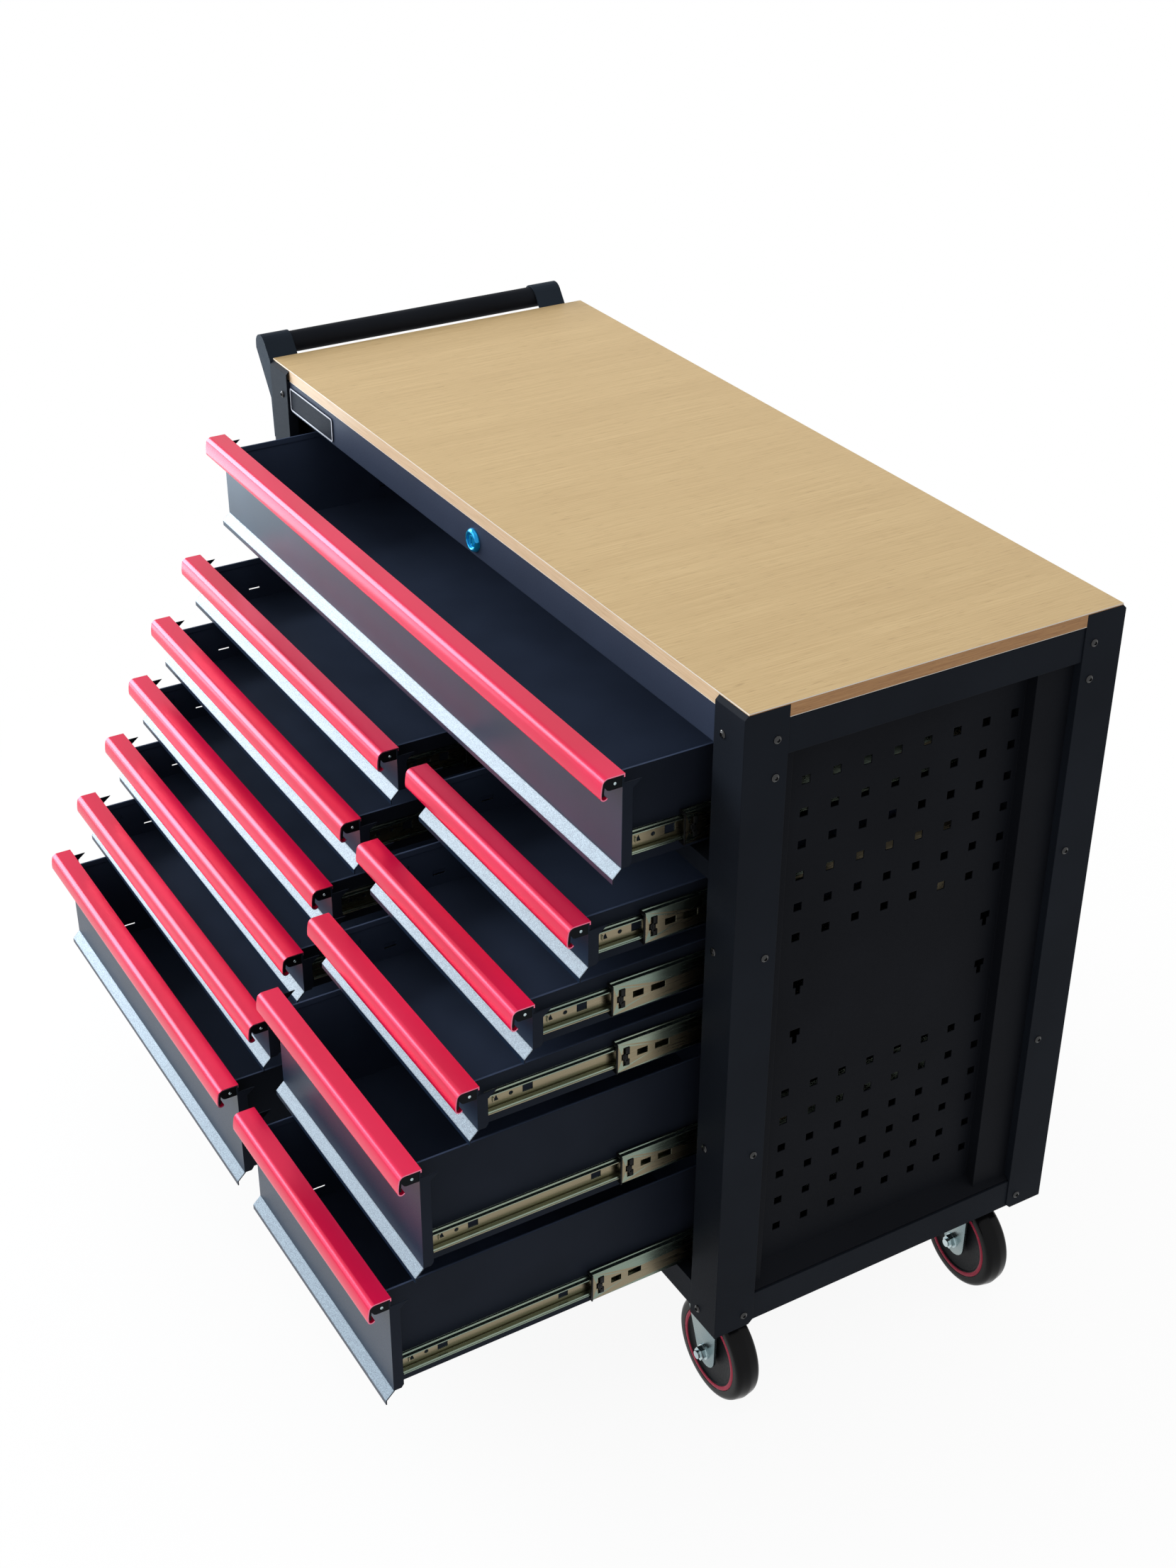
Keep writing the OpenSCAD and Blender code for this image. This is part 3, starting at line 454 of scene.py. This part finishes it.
# %% A painter that picks a slot for each face
def paint(name, materials, rule=None):
    mesh = chest[name].data
    mesh.materials.clear()
    for material in materials:
        mesh.materials.append(material)
    for face in mesh.polygons:
        face.material_index = rule(face.center, face.normal) if rule else 0


for name in ("corner_posts", "inner_frame", "base_tray"):
    paint(name, [frame_coat])
# Faces of the top frame that point forwards take the rail's painted sheen.
paint("top_frame", [frame_coat, rail_coat_painted_sheen],
      lambda centre, normal: int(normal.y < -0.5))
# The brackets take their coat with its painted light.
paint("handle_brackets", [bracket_coat_painted_light])
# The panels take the darker coat with its painted shade.
for name in ("side_panel_left", "side_panel_right", "back_panel"):
    paint(name, [panel_coat_painted_shade])
paint("lock_core", [chrome])
paint("badge_plate", [badge_black])
for end in ("front", "rear"):
    paint("brake_pedal_" + end, [pedal_black])
print("frame, panels and casters painted")

# %% The worktop, face by face
SKIN, FRONT_BAND_PAINTED_LIGHT, END_BAND_PAINTED_SHADE = range(3)


def worktop_rule(centre, normal):
    if normal.z > 0.5:
        return SKIN
    # End faces take the painted shade, the other edges the painted light.
    return END_BAND_PAINTED_SHADE if abs(normal.x) > 0.5 else FRONT_BAND_PAINTED_LIGHT


paint("worktop", [oak_top, oak_front_painted_light, oak_end_painted_shade], worktop_rule)
print("worktop", [round(v, 3) for v in board_high - board_low])

# %% Casters: bright bolts in duller forks
WHEELS = ("front_right", "rear_right", "front_left", "rear_left")
BOLT_HEAD, FORK_OUTSIDE = 9.6 * MM, 22.3 * MM
axles = {}
for where in WHEELS:
    low, high = span("wheel_" + where)
    axles[where] = (low + high) / 2


def caster_rule(centre, normal):
    """The bolt's slot near an axle and outside the fork, else the fork's."""
    for axle in axles.values():
        away = Vector((centre.x - axle.x, 0, centre.z - axle.z)).length
        if away < BOLT_HEAD and abs(centre.y - axle.y) > FORK_OUTSIDE:
            return 1
    return 0


for name in ("caster_mounts", "swivel_fork_front", "swivel_fork_rear"):
    paint(name, [fork_zinc, bolt_zinc], caster_rule)
print("axles at", {k: [round(c, 3) for c in v] for k, v in axles.items()})

# %% The slides: warm webs between greenish rims
WEB_HALF = 11.2 * MM


def slide_rule(drawers):
    """Slot 0 for the flat web of a slide at these drawers, 1 for its rims."""
    middles = [middle_z("slide_mid_" + drawer) for drawer in drawers]

    def rule(centre, normal):
        off = min(abs(centre.z - z) for z in middles)
        return 0 if off < WEB_HALF and abs(normal.x) > 0.9 else 1

    return rule


paint("slide_outers", [slide_web, slide_rim], slide_rule(DRAWERS))
for drawer in DRAWERS:
    paint("slide_mid_" + drawer, [slide_web, slide_rim],
          slide_rule([drawer]))
print("slides painted")

# %% The drawers: box, lip, caps and inner slide members
SLIDE_OUT, SLIDE_IN = 9.7 * MM, 22.4 * MM
SLIDE_HALF, LIP_TALL = 20 * MM, 15.8 * MM
FRONT_PAINTED_REFLECTION, LIP_PAINTED_GLINTS, CAP, WEB, RIM, SIDE, INSIDE_PAINTED_LIGHT = range(7)


def drawer_rule(drawer):
    """The slot of a face; a slide's rim comes right after its web."""
    low, high = span("pull_" + drawer)
    face_y = front_plane(drawer)
    foot = span("drawer_" + drawer)[0].z + LIP_TALL
    rail = slide_rule([drawer])
    rail_z, middle = middle_z("slide_mid_" + drawer), (low.x + high.x) / 2

    def rule(centre, normal):
        from_end = min(centre.x - low.x, high.x - centre.x)
        behind = centre.y - face_y
        if behind < -0.05 * MM and centre.z > foot + 1 * MM:
            return CAP
        # Upward faces of the flare below the front take the lip's painted
        # glints.
        if centre.z < foot and behind < 2 * MM and normal.z > 0.2:
            return LIP_PAINTED_GLINTS
        on_slide = (SLIDE_OUT - 0.2 * MM < from_end < SLIDE_IN - 0.02 * MM
                    and abs(centre.z - rail_z) < SLIDE_HALF)
        if on_slide and behind > 3 * MM:
            return WEB + rail(centre, normal)
        # Forward faces take the front coat with its painted reflection.
        if normal.y < -0.5 and behind < 0.1 * MM:
            return FRONT_PAINTED_REFLECTION
        # Faces that point into the box take the lighter inside coat: painted
        # light.
        inward = ((middle - centre.x) * normal.x > 0.01 * MM
                  or normal.z > 0.5 or abs(normal.y) > 0.5)
        return INSIDE_PAINTED_LIGHT if inward and from_end > SLIDE_IN - 0.1 * MM else SIDE

    return rule


for drawer in DRAWERS:
    paint("drawer_" + drawer, [drawer_front_painted_reflection, lip_coat_painted_glints, cap_black, slide_web,
                               slide_rim, drawer_side, drawer_inside_painted_light],
          drawer_rule(drawer))
print("drawers painted")

# %% [markdown]
# ## New pieces from bmesh operators
#
# The rest of the lesson models pieces afresh. Most are one of two kinds: a
# profile pushed along a straight line, or a profile spun round an axle. Two
# helpers cover them, and a third turns the finished bmesh into an object that
# sits at the origin and rides on its body.


# %% Extrude, spin and finish
def wire(bm, points):
    """A chain of edges through the points."""
    made = [bm.verts.new(p) for p in points]
    edges = [bm.edges.new(pair) for pair in zip(made, made[1:])]
    return made, edges


def arc(centre, radius, first, last, steps):
    """Points of an arc in degrees, as pairs."""
    return [(centre[0] + radius * math.cos(math.radians(a)),
             centre[1] + radius * math.sin(math.radians(a)))
            for a in (first + (last - first) * i / steps
                      for i in range(steps + 1))]


def spin(bm, points, centre, axis, steps=64):
    """Turns a chain of points all the way round an axis."""
    made, edges = wire(bm, points)
    bmesh.ops.spin(bm, geom=made + edges, cent=centre, axis=axis,
                   angle=math.tau, steps=steps, use_merge=True,
                   use_duplicate=False)
    bmesh.ops.remove_doubles(bm, verts=bm.verts, dist=1e-6)


def finish(name, bm, body, materials, sharp=35.0):
    """Makes the object, smooth but for edges past the sharp angle."""
    bmesh.ops.recalc_face_normals(bm, faces=bm.faces)
    for face in bm.faces:
        face.smooth = True
    for edge in bm.edges:
        if len(edge.link_faces) == 2:
            edge.smooth = edge.calc_face_angle() < math.radians(sharp)
    mesh = bpy.data.meshes.new(name)
    bm.to_mesh(mesh)
    bm.free()
    made = bpy.data.objects.new(name, mesh)
    bpy.context.scene.collection.objects.link(made)
    for material in materials:
        mesh.materials.append(material)
    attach(made, body)
    return made


print("piece helpers ready")

# %% [markdown]
# ## The drawer pulls
#
# A pull is one extrusion: a flat top that clips over the edge of the front, a
# rounded nose, a face that leans outwards and a small hook at the foot for the
# fingertips. The nose is what catches the light, so its arc gets many short
# steps. The outline goes down the outside and comes back along the inside, and
# the closed face is then extruded along the drawer.


# %% Profile of the extrusion, in millimetres
PULL_TALL, PULL_WALL = 24.6, 1.3
NOSE_ROUND, HOOK_ROUND = 8, 4.4
LIP_BACK, LIP_DROP = 2.7, 4


def pull_side(inset):
    """One side of the outline, set in from the outside by a distance."""
    nose = arc((9 - PULL_DEEP, -NOSE_ROUND), NOSE_ROUND - inset, 90, 158, 14)
    face = [(0.6 + inset - PULL_DEEP, -0.42 * PULL_TALL),
            (inset - PULL_DEEP, -0.66 * PULL_TALL)]
    hook = arc((HOOK_ROUND - PULL_DEEP, HOOK_ROUND - PULL_TALL),
               HOOK_ROUND - inset, 185, 330, 16)
    back = LIP_BACK - inset
    return [(back, -LIP_DROP), (back, -inset)] + nose + face + hook


print("profile has", len(pull_side(0)), "points a side")


# %% Extrude the twelve pulls
def pull(drawer):
    low, high = span("pull_" + drawer)
    y, z = front_plane(drawer), high.z
    outline = pull_side(0) + pull_side(PULL_WALL)[::-1]
    bm = bmesh.new()
    start_face = bm.faces.new(
        [bm.verts.new((low.x, y + a * MM, z + b * MM)) for a, b in outline])
    run = bmesh.ops.extrude_face_region(bm, geom=[start_face],
                                        use_keep_orig=True)
    moved = [v for v in run["geom"] if isinstance(v, bmesh.types.BMVert)]
    bmesh.ops.translate(bm, verts=moved, vec=(high.x - low.x, 0, 0))
    ends = [f for f in bm.faces if len(f.verts) > 4]
    for face in ends:
        face.material_index = 1
    made = finish("pull_extrusion_" + drawer, bm, "drawer_%s_body" % drawer,
                  [pull_red, sawn_end], 30.0)
    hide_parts("pull_" + drawer)
    return made


pulls = [pull(drawer) for drawer in DRAWERS]
print(len(pulls), "pulls,", len(pulls[0].data.polygons), "faces each")

# %% [markdown]
# ## Screws
#
# Button-head screws hold the posts to the rails. A head is a low dome with a
# hexagon socket: half the outline is spun round the axis, and the socket's
# floor is a six-sided disc sunk in the middle. One head is built at the
# origin, then copied with a matrix to each place. The places come from the
# packed screws, whose solids are found as separate islands.


# %% Find the islands of a node
def islands(name):
    """The boxes of the separate solids in a node, as (low, high) pairs."""
    bm = bmesh.new()
    bm.from_mesh(chest[name].data)
    bmesh.ops.remove_doubles(bm, verts=bm.verts, dist=1e-5)
    seen, found = set(), []
    for first in bm.verts:
        if first in seen:
            continue
        seen.add(first)
        group, edge_of = [first], [first]
        while edge_of:
            grown = []
            for v in edge_of:
                for e in v.link_edges:
                    other = e.other_vert(v)
                    if other not in seen:
                        seen.add(other)
                        grown.append(other)
            group += grown
            edge_of = grown
        co = [v.co for v in group]
        found.append((Vector([min(c[i] for c in co) for i in range(3)]),
                      Vector([max(c[i] for c in co) for i in range(3)])))
    bm.free()
    return found


screw_boxes = islands("screws")
print(len(screw_boxes), "screws")


# %% One head, then all of them
def button_head(bm, place, radius=4.5 * MM):
    """A domed head with a hexagon socket, its seat at the matrix's origin."""
    dome = [(radius, 0.0)] + [
        (radius * math.cos(a), radius * (0.1 + 0.42 * math.sin(a)))
        for a in (math.radians(10 * i) for i in range(7))]
    rim = 0.46 * radius
    dome += [(rim, radius * 0.5), (rim * 0.98, radius * 0.2)]
    made, edges = wire(bm, [(x, 0, z) for x, z in dome])
    turned = bmesh.ops.spin(bm, geom=made + edges, cent=(0, 0, 0),
                            axis=(0, 0, 1), angle=math.tau, steps=24,
                            use_merge=True, use_duplicate=False)
    floor = bmesh.ops.create_circle(bm, cap_ends=True, segments=6,
                                    radius=rim * 1.05)
    bmesh.ops.translate(bm, verts=floor["verts"],
                        vec=(0, 0, radius * 0.22))
    fresh = [v for v in bm.verts if not v.tag]
    bmesh.ops.remove_doubles(bm, verts=fresh, dist=1e-7)
    fresh = [v for v in bm.verts if not v.tag]
    bmesh.ops.transform(bm, matrix=place, verts=fresh)
    for v in fresh:
        v.tag = True


def facing(low, high):
    """A matrix that stands a head on its seat, by the flattest direction."""
    size = high - low
    middle = (low + high) / 2
    thin = min(range(3), key=lambda i: size[i])
    outward = -1.0 if middle[thin] < chest_middle[thin] else 1.0
    axis = Vector([outward if i == thin else 0.0 for i in range(3)])
    seat = middle - axis * size[thin] / 2
    return Matrix.Translation(seat) @ axis.to_track_quat("Z", "Y").to_matrix(
        ).to_4x4()


low, high = span("corner_posts")
chest_middle = (low + high) / 2
bm = bmesh.new()
for low, high in screw_boxes:
    button_head(bm, facing(low, high))
screws = finish("post_screws", bm, "base", [screw_black])
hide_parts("screws")
print("post screws:", len(screws.data.polygons), "faces")

# %% [markdown]
# ## Wheels
#
# A wheel is a glossy tyre moulded round a plastic hub, with a thin red ring
# let into each face where they meet. Tyre, ring and hub are each a profile
# spun round the axle. The tyre's section is a crowned tread with rounded
# shoulders. The hub gets ribs: thin boxes from the boss to the rim, repeated
# by turning a copy round the axle.


# %% Sections of the tyre, the ring and the hub
HALF_TREAD = 15.5


def mirrored(points):
    """The same outline on both sides of the wheel's middle plane."""
    return points + [(r, -w) for r, w in reversed(points)]


def tyre_section(radius, half):
    shoulder = arc((radius - 9.5, half - 8), 8, 78, 12, 8)
    return mirrored([(radius * 0.76, half - 1.2), (radius * 0.775, half),
                     (radius * 0.835, half)] + shoulder +
                    [(radius - 0.7, half * 0.28), (radius, 0.6)])


def ring_section(radius, half):
    return [(radius * 0.69, half - 1.6), (radius * 0.69, half - 0.4),
            (radius * 0.705, half + 0.1), (radius * 0.75, half + 0.1),
            (radius * 0.765, half - 0.4), (radius * 0.765, half - 1.6)]


def hub_section(radius, half):
    return mirrored([(5.4, half + 2.3), (11.4, half + 2.3),
                     (12.4, half + 1.6), (13.4, half - 2.2),
                     (radius * 0.62, half - 3.6), (radius * 0.66, half - 2.6),
                     (radius * 0.675, half - 0.9),
                     (radius * 0.695, half - 0.9)])


def round_axle(points, axle):
    """Section points, in millimetres, as points beside an axle along Y."""
    return [(axle.x + r * MM, axle.y + w * MM, axle.z) for r, w in points]


print("tyre outline:", len(tyre_section(65, HALF_TREAD)), "points")


# %% Build the four wheels
RIBS = 8


def wheel(where):
    low, high = span("wheel_" + where)
    axle = axles[where]
    radius, half = (high.z - low.z) / 2 / MM, HALF_TREAD
    body = "wheel_%s_body" % where
    bm = bmesh.new()
    spin(bm, round_axle(tyre_section(radius, half), axle), axle, (0, 1, 0),
         96)
    tyre = finish("tyre_" + where, bm, body, [tyre_rubber])
    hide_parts("wheel_" + where)
    bm = bmesh.new()
    for side in (1, -1):
        section = [(r, w * side) for r, w in ring_section(radius, half)]
        spin(bm, round_axle(section, axle), axle, (0, 1, 0), 96)
    ring = finish("ring_" + where, bm, body, [ring_red])
    bm = bmesh.new()
    spin(bm, round_axle(hub_section(radius, half), axle), axle, (0, 1, 0),
         64)
    rib = bmesh.ops.create_cube(bm, size=1.0)["verts"]
    bmesh.ops.scale(bm, verts=rib, vec=(27 * MM, 24 * MM, 2.4 * MM))
    bmesh.ops.translate(bm, verts=rib, vec=axle + Vector((27 * MM, 0, 0)))
    for i in range(1, RIBS):
        parts = list({g for v in rib for g in
                      [v, *v.link_edges, *v.link_faces]})
        copy = bmesh.ops.duplicate(bm, geom=parts)["geom"]
        turned = [g for g in copy if isinstance(g, bmesh.types.BMVert)]
        bmesh.ops.rotate(bm, verts=turned, cent=axle,
                         matrix=Matrix.Rotation(math.tau * i / RIBS, 3, "Y"))
    hub = finish("hub_" + where, bm, body, [hub_plastic])


for where in WHEELS:
    wheel(where)
print(len(WHEELS), "wheels built")

# %% [markdown]
# ## The push handle's grip
#
# The grip is a plain round tube between two brackets. It is a short profile
# spun round its own axis, closed at the ends inside the brackets.

# %% Grip tube
low, high = span("grip_tube")
axis_x, axis_z = (low.x + high.x) / 2, (low.z + high.z) / 2
bore, outside = 12 * MM, (high.x - low.x) / 2
bm = bmesh.new()
spin(bm, [(axis_x + r, y, axis_z) for r, y in (
    (bore, low.y), (outside, low.y), (outside, high.y), (bore, high.y),
    (bore, low.y))], (axis_x, 0, axis_z), (0, 1, 0), 48)
grip = finish("push_grip", bm, "base", [grip_coat])
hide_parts("grip_tube")
print("grip length", round(high.y - low.y, 3))

# %% [markdown]
# ## The lock
#
# The keyed lock shows as a blue, plated bezel with a stepped, rounded rim. A
# spun profile gives the steps; the core with its key slot stays a packed
# solid, because it turns on its own joint.

# %% Lock bezel and barrel
low, high = span("lock_body")
lock_x, lock_z = (low.x + high.x) / 2, (low.z + high.z) / 2
bezel = [(6.3, 2.4), (9.0, 2.4), (9.2, 0.6), (10.0, 0.0), (11.0, 0.1),
         (12.4, 1.0), (13.5, 2.4), (14.0, 3.8), (14.0, 5.0), (9.5, 5.0),
         (9.5, 6.5), (12.2, 6.5), (12.2, 10.5), (9.5, 10.5), (9.5, 27.0),
         (6.3, 27.0), (6.3, 2.4)]
bm = bmesh.new()
spin(bm, [(lock_x + r * MM, low.y + d * MM, lock_z) for r, d in bezel],
     (lock_x, 0, lock_z), (0, 1, 0), 48)
lock = finish("lock_bezel", bm, "base", [chrome], 40.0)
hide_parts("lock_body")
print("lock bezel", round((high.x - low.x) / MM, 1), "mm across")

# %% [markdown]
# ## Small plastic and steel parts of the slides
#
# Each middle slide member carries a black release lever behind its front
# window and a thin black bumper round its front end. They are small, but they
# punctuate the long grey strips. Both are built from cubes whose vertices are
# scaled and moved, then bevelled.


# %% Cubes with rounded edges
def block(bm, low, high, round_by=0.0, material=0):
    """A box between two corners, its edges bevelled by round_by."""
    low, high = Vector(low), Vector(high)
    made = bmesh.ops.create_cube(bm, size=1.0)["verts"]
    bmesh.ops.scale(bm, verts=made, vec=high - low)
    bmesh.ops.translate(bm, verts=made, vec=(low + high) / 2)
    faces = list({f for v in made for f in v.link_faces})
    for face in faces:
        face.material_index = material
    if round_by:
        edges = list({e for v in made for e in v.link_edges})
        bmesh.ops.bevel(bm, geom=edges, offset=round_by, segments=2,
                        profile=0.5, affect="EDGES", material=-1)


def slide_sides(drawer):
    """For each side: X of the slide's seat and the way to the drawer."""
    low, high = span("pull_" + drawer)
    return [(low.x + SLIDE_OUT, 1), (high.x - SLIDE_OUT, -1)]


print("slides at", [round(x, 4) for x, way in slide_sides("r1")])


# %% Levers and bumpers of the middle members
def slide_trim(drawer):
    centre = middle_z("slide_mid_" + drawer)
    y = span("slide_mid_" + drawer)[0].y
    bm = bmesh.new()
    for x, way in slide_sides(drawer):
        near, far = x + way * 1.5 * MM, x + way * 3.9 * MM
        a, b = min(near, far), max(near, far)
        for y0, y1, z0, z1 in ((9.5, 14.5, 2, 11.6), (8.0, 12.5, -6, 4),
                               (9.5, 14.5, -11.6, -4), (6.2, 9, -2.4, 3)):
            block(bm, (a, y + y0 * MM, centre + z0 * MM),
                  (b, y + y1 * MM, centre + z1 * MM), 0.3 * MM)
        for z0, z1 in ((15.4, 18.9), (-18.9, -15.4)):
            c, d = x + way * 1.3 * MM, x + way * 11.2 * MM
            block(bm, (min(c, d), y - 1.6 * MM, centre + z0 * MM),
                  (max(c, d), y + 0.2 * MM, centre + z1 * MM), 0.3 * MM)
        c, d = x + way * 1.3 * MM, x + way * 3.7 * MM
        block(bm, (min(c, d), y - 1.6 * MM, centre - 17 * MM),
              (max(c, d), y + 0.2 * MM, centre + 17 * MM), 0.3 * MM)
    made = finish("slide_trim_" + drawer, bm, "mid_%s_body" % drawer,
                  [lever_black])
    return made


trims = [slide_trim(drawer) for drawer in DRAWERS]
print(len(trims), "sets of slide trim")


# %% Balls between the members
BALLS_A_ROW, BALL_PITCH, BALL_RADIUS = 9, 12, 1.5 * MM


def balls(drawer):
    centre = middle_z("slide_mid_" + drawer)
    front = span("slide_mid_" + drawer)[0].y
    bm = bmesh.new()
    for x, way in slide_sides(drawer):
        for i in range(BALLS_A_ROW):
            for side in (1, -1):
                y = front + (14 + BALL_PITCH * i) * MM
                place = Matrix.Translation(
                    (x + way * 8 * MM, y, centre + side * 13.2 * MM))
                bmesh.ops.create_icosphere(bm, subdivisions=1,
                                           radius=BALL_RADIUS, matrix=place)
    made = finish("slide_balls_" + drawer, bm, "mid_%s_body" % drawer,
                  [bolt_zinc], 80.0)


for drawer in DRAWERS:
    balls(drawer)
print("balls placed")

# %% [markdown]
# ## Cap screws and the badge's border
#
# One small bright screw holds each end cap of a pull, and reuses the button
# head. The badge place is blank; a thin silver line runs round it. It starts
# as a rounded face, whose normal is worked out first because the inset needs
# it. The middle of the inset is deleted, and the rim that is left is given a
# thickness.


# %% Screws on the caps
def cap_screws(drawer):
    low, high = span("pull_" + drawer)
    y = front_plane(drawer)
    bm = bmesh.new()
    for x, way in ((low.x, -1), (high.x, 1)):
        turn = Vector((way, 0, 0)).to_track_quat("Z", "Y").to_matrix(
            ).to_4x4()
        cap = Vector((x - way * 0.4 * MM, y - 8.3 * MM, high.z - 8.4 * MM))
        button_head(bm, Matrix.Translation(cap) @ turn, 1.8 * MM)
    made = finish("cap_screws_" + drawer, bm, "drawer_%s_body" % drawer,
                  [bolt_zinc])


for drawer in DRAWERS:
    cap_screws(drawer)
print("cap screws placed")


# %% Border of the blank badge
BORDER_WIDE, BORDER_PROUD, BORDER_THICK = 2 * MM, 0.15 * MM, 0.4 * MM


def rounded(x0, x1, z0, z1, radius):
    """Points round a rectangle with rounded corners."""
    corners = ((x1 - radius, z0 + radius, -90), (x1 - radius, z1 - radius, 0),
               (x0 + radius, z1 - radius, 90), (x0 + radius, z0 + radius, 180))
    return [p for x, z, turn in corners
            for p in arc((x, z), radius, turn, turn + 90, 6)]


low, high = span("badge_plate")
bm = bmesh.new()
plate = bm.faces.new([bm.verts.new((x, low.y - BORDER_PROUD, z))
                      for x, z in rounded(low.x, high.x, low.z, high.z,
                                          4 * MM)])
plate.normal_update()
bmesh.ops.inset_individual(bm, faces=[plate], thickness=BORDER_WIDE,
                           use_even_offset=True)
bmesh.ops.delete(bm, geom=[plate], context="FACES_ONLY")
thick = bmesh.ops.extrude_face_region(bm, geom=bm.faces[:],
                                      use_keep_orig=True)
bmesh.ops.translate(bm, vec=(0, BORDER_THICK, 0), verts=[
    v for v in thick["geom"] if isinstance(v, bmesh.types.BMVert)])
border = finish("badge_border", bm, "base", [badge_line])
print("badge", round((high.x - low.x) / MM), "mm wide")

# %% [markdown]
# ## Floor, light and camera
#
# The set is a plain pale floor under a white sky. A large soft lamp far off
# on the left, like a window, lights the worktop, glances off the lips and
# draws the long highlight along the nose of each pull. A weak one at the front
# fills the drawer fronts, a small low one lends the left ends of the fronts
# their grey glow, and another overhead evens out the worktop. The white
# behind the chest is only for the camera and for reflections, so it doesn't
# wash out the dark paint. The floor glows in the same way, fully white far
# off and less so near the chest, where the real floor under the glow keeps
# the chest's soft shadow.


# %% White sky
def studio_white(tree, seen, felt):
    """Strength: one value for the camera and mirrors, one for soft light."""
    path = add(tree, "ShaderNodeLightPath").outputs
    either = add(tree, "ShaderNodeMath",
                 {0: path["Is Camera Ray"], 1: path["Is Glossy Ray"]},
                 operation="MAXIMUM").outputs[0]
    every = add(tree, "ShaderNodeMath",
                {0: either, 1: path["Is Transmission Ray"]},
                operation="MAXIMUM").outputs[0]
    return ramp(tree, every, 0.0, 1.0, felt, seen)


SKY_SEEN, SKY_FELT = 1.0, 0.58
world = bpy.data.worlds.new("studio")
bpy.context.scene.world = world
world.use_nodes = True
sky = world.node_tree.nodes["Background"]
sky.inputs["Color"].default_value = (1.0, 1.0, 1.0, 1.0)
world.node_tree.links.new(
    studio_white(world.node_tree, SKY_SEEN, SKY_FELT),
    sky.inputs["Strength"])
print("sky ready")

# %% A floor that glows for the camera

floor_mesh = bpy.data.meshes.new("floor")
bm = bmesh.new()
bmesh.ops.create_grid(bm, x_segments=1, y_segments=1, size=14.0)
bm.to_mesh(floor_mesh)
bm.free()
floor = bpy.data.objects.new("floor", floor_mesh)
bpy.context.scene.collection.objects.link(floor)
floor_paint, tree, shader, place = start(
    "floor_paint", Roughness=0.9, Specular_IOR_Level=0.1)
shade = noise(tree, place, 3.0)
tree.links.new(mix(tree, shade, (0.86, 0.86, 0.86, 1),
                   (0.88, 0.88, 0.88, 1)), shader.inputs["Base Color"])
white = add(tree, "ShaderNodeEmission", {"Color": (1, 1, 1, 1),
                                         "Strength": 1.0}).outputs[0]
away = add(tree, "ShaderNodeVectorMath", {0: place},
           operation="LENGTH").outputs["Value"]
share = ramp(tree, away, 0.4, 1.5, 0.92, 1.0)
blend = add(tree, "ShaderNodeMixShader",
            {0: studio_white(tree, share, 0.0), 1: shader.outputs[0],
             2: white}).outputs[0]
tree.links.new(blend, tree.nodes["Material Output"].inputs["Surface"])
floor_mesh.materials.append(floor_paint)
print("floor ready")


# %% Lamps
def softbox(name, place, target, size, watts, tint=(1, 1, 1)):
    """A rectangular lamp at a place, aimed at a target."""
    lamp = bpy.data.lights.new(name, "AREA")
    lamp.shape = "RECTANGLE"
    lamp.size, lamp.size_y = size
    lamp.energy = watts
    lamp.color = tint
    made = bpy.data.objects.new(name, lamp)
    made.location = place
    made.rotation_euler = (Vector(target) - Vector(place)).to_track_quat(
        "-Z", "Y").to_euler()
    bpy.context.scene.collection.objects.link(made)
    return made


softbox("window", (-5.4, -2.6, 2.9), (0, -0.1, 0.8), (3.6, 3.4), 430,
        (0.94, 0.97, 1.0))
softbox("fill", (-1.6, -3.4, 1.9), (0, -0.1, 0.5), (2.4, 2.4), 40,
        (0.9, 0.95, 1.0))
softbox("card", (-2.1, -0.9, 0.4), (-0.4, -0.2, 0.7), (1.7, 0.7), 14,
        (0.72, 0.87, 1.0))
softbox("overhead", (0.3, 0.3, 3.6), (0, 0, 0.5), (3.0, 3.0), 14)
print("lamps placed")

# %% Camera
AZIMUTH, ELEVATION, ROLL = (math.radians(a) for a in (59.035, 31.158, 0.394))
STATION = Vector((1.99777, -1.06994, 1.92457))
FOCAL, FILM_HEIGHT = 49.74, 36.0
forward = Vector((-math.sin(AZIMUTH) * math.cos(ELEVATION),
                  math.cos(AZIMUTH) * math.cos(ELEVATION),
                  -math.sin(ELEVATION)))
level = forward.cross(Vector((0, 0, 1))).normalized()
upright = level.cross(forward)
right = level * math.cos(ROLL) + upright * math.sin(ROLL)
lens = bpy.data.cameras.new("camera")
lens.sensor_fit = "VERTICAL"
lens.sensor_height = FILM_HEIGHT
lens.lens = FOCAL
camera = bpy.data.objects.new("camera", lens)
turn = Matrix((right, right.cross(forward), -forward)).transposed()
camera.matrix_world = Matrix.Translation(STATION) @ turn.to_4x4()
bpy.context.scene.collection.objects.link(camera)
bpy.context.scene.camera = camera
bpy.context.scene.view_settings.view_transform = "Standard"
print("camera at", [round(v, 3) for v in STATION])
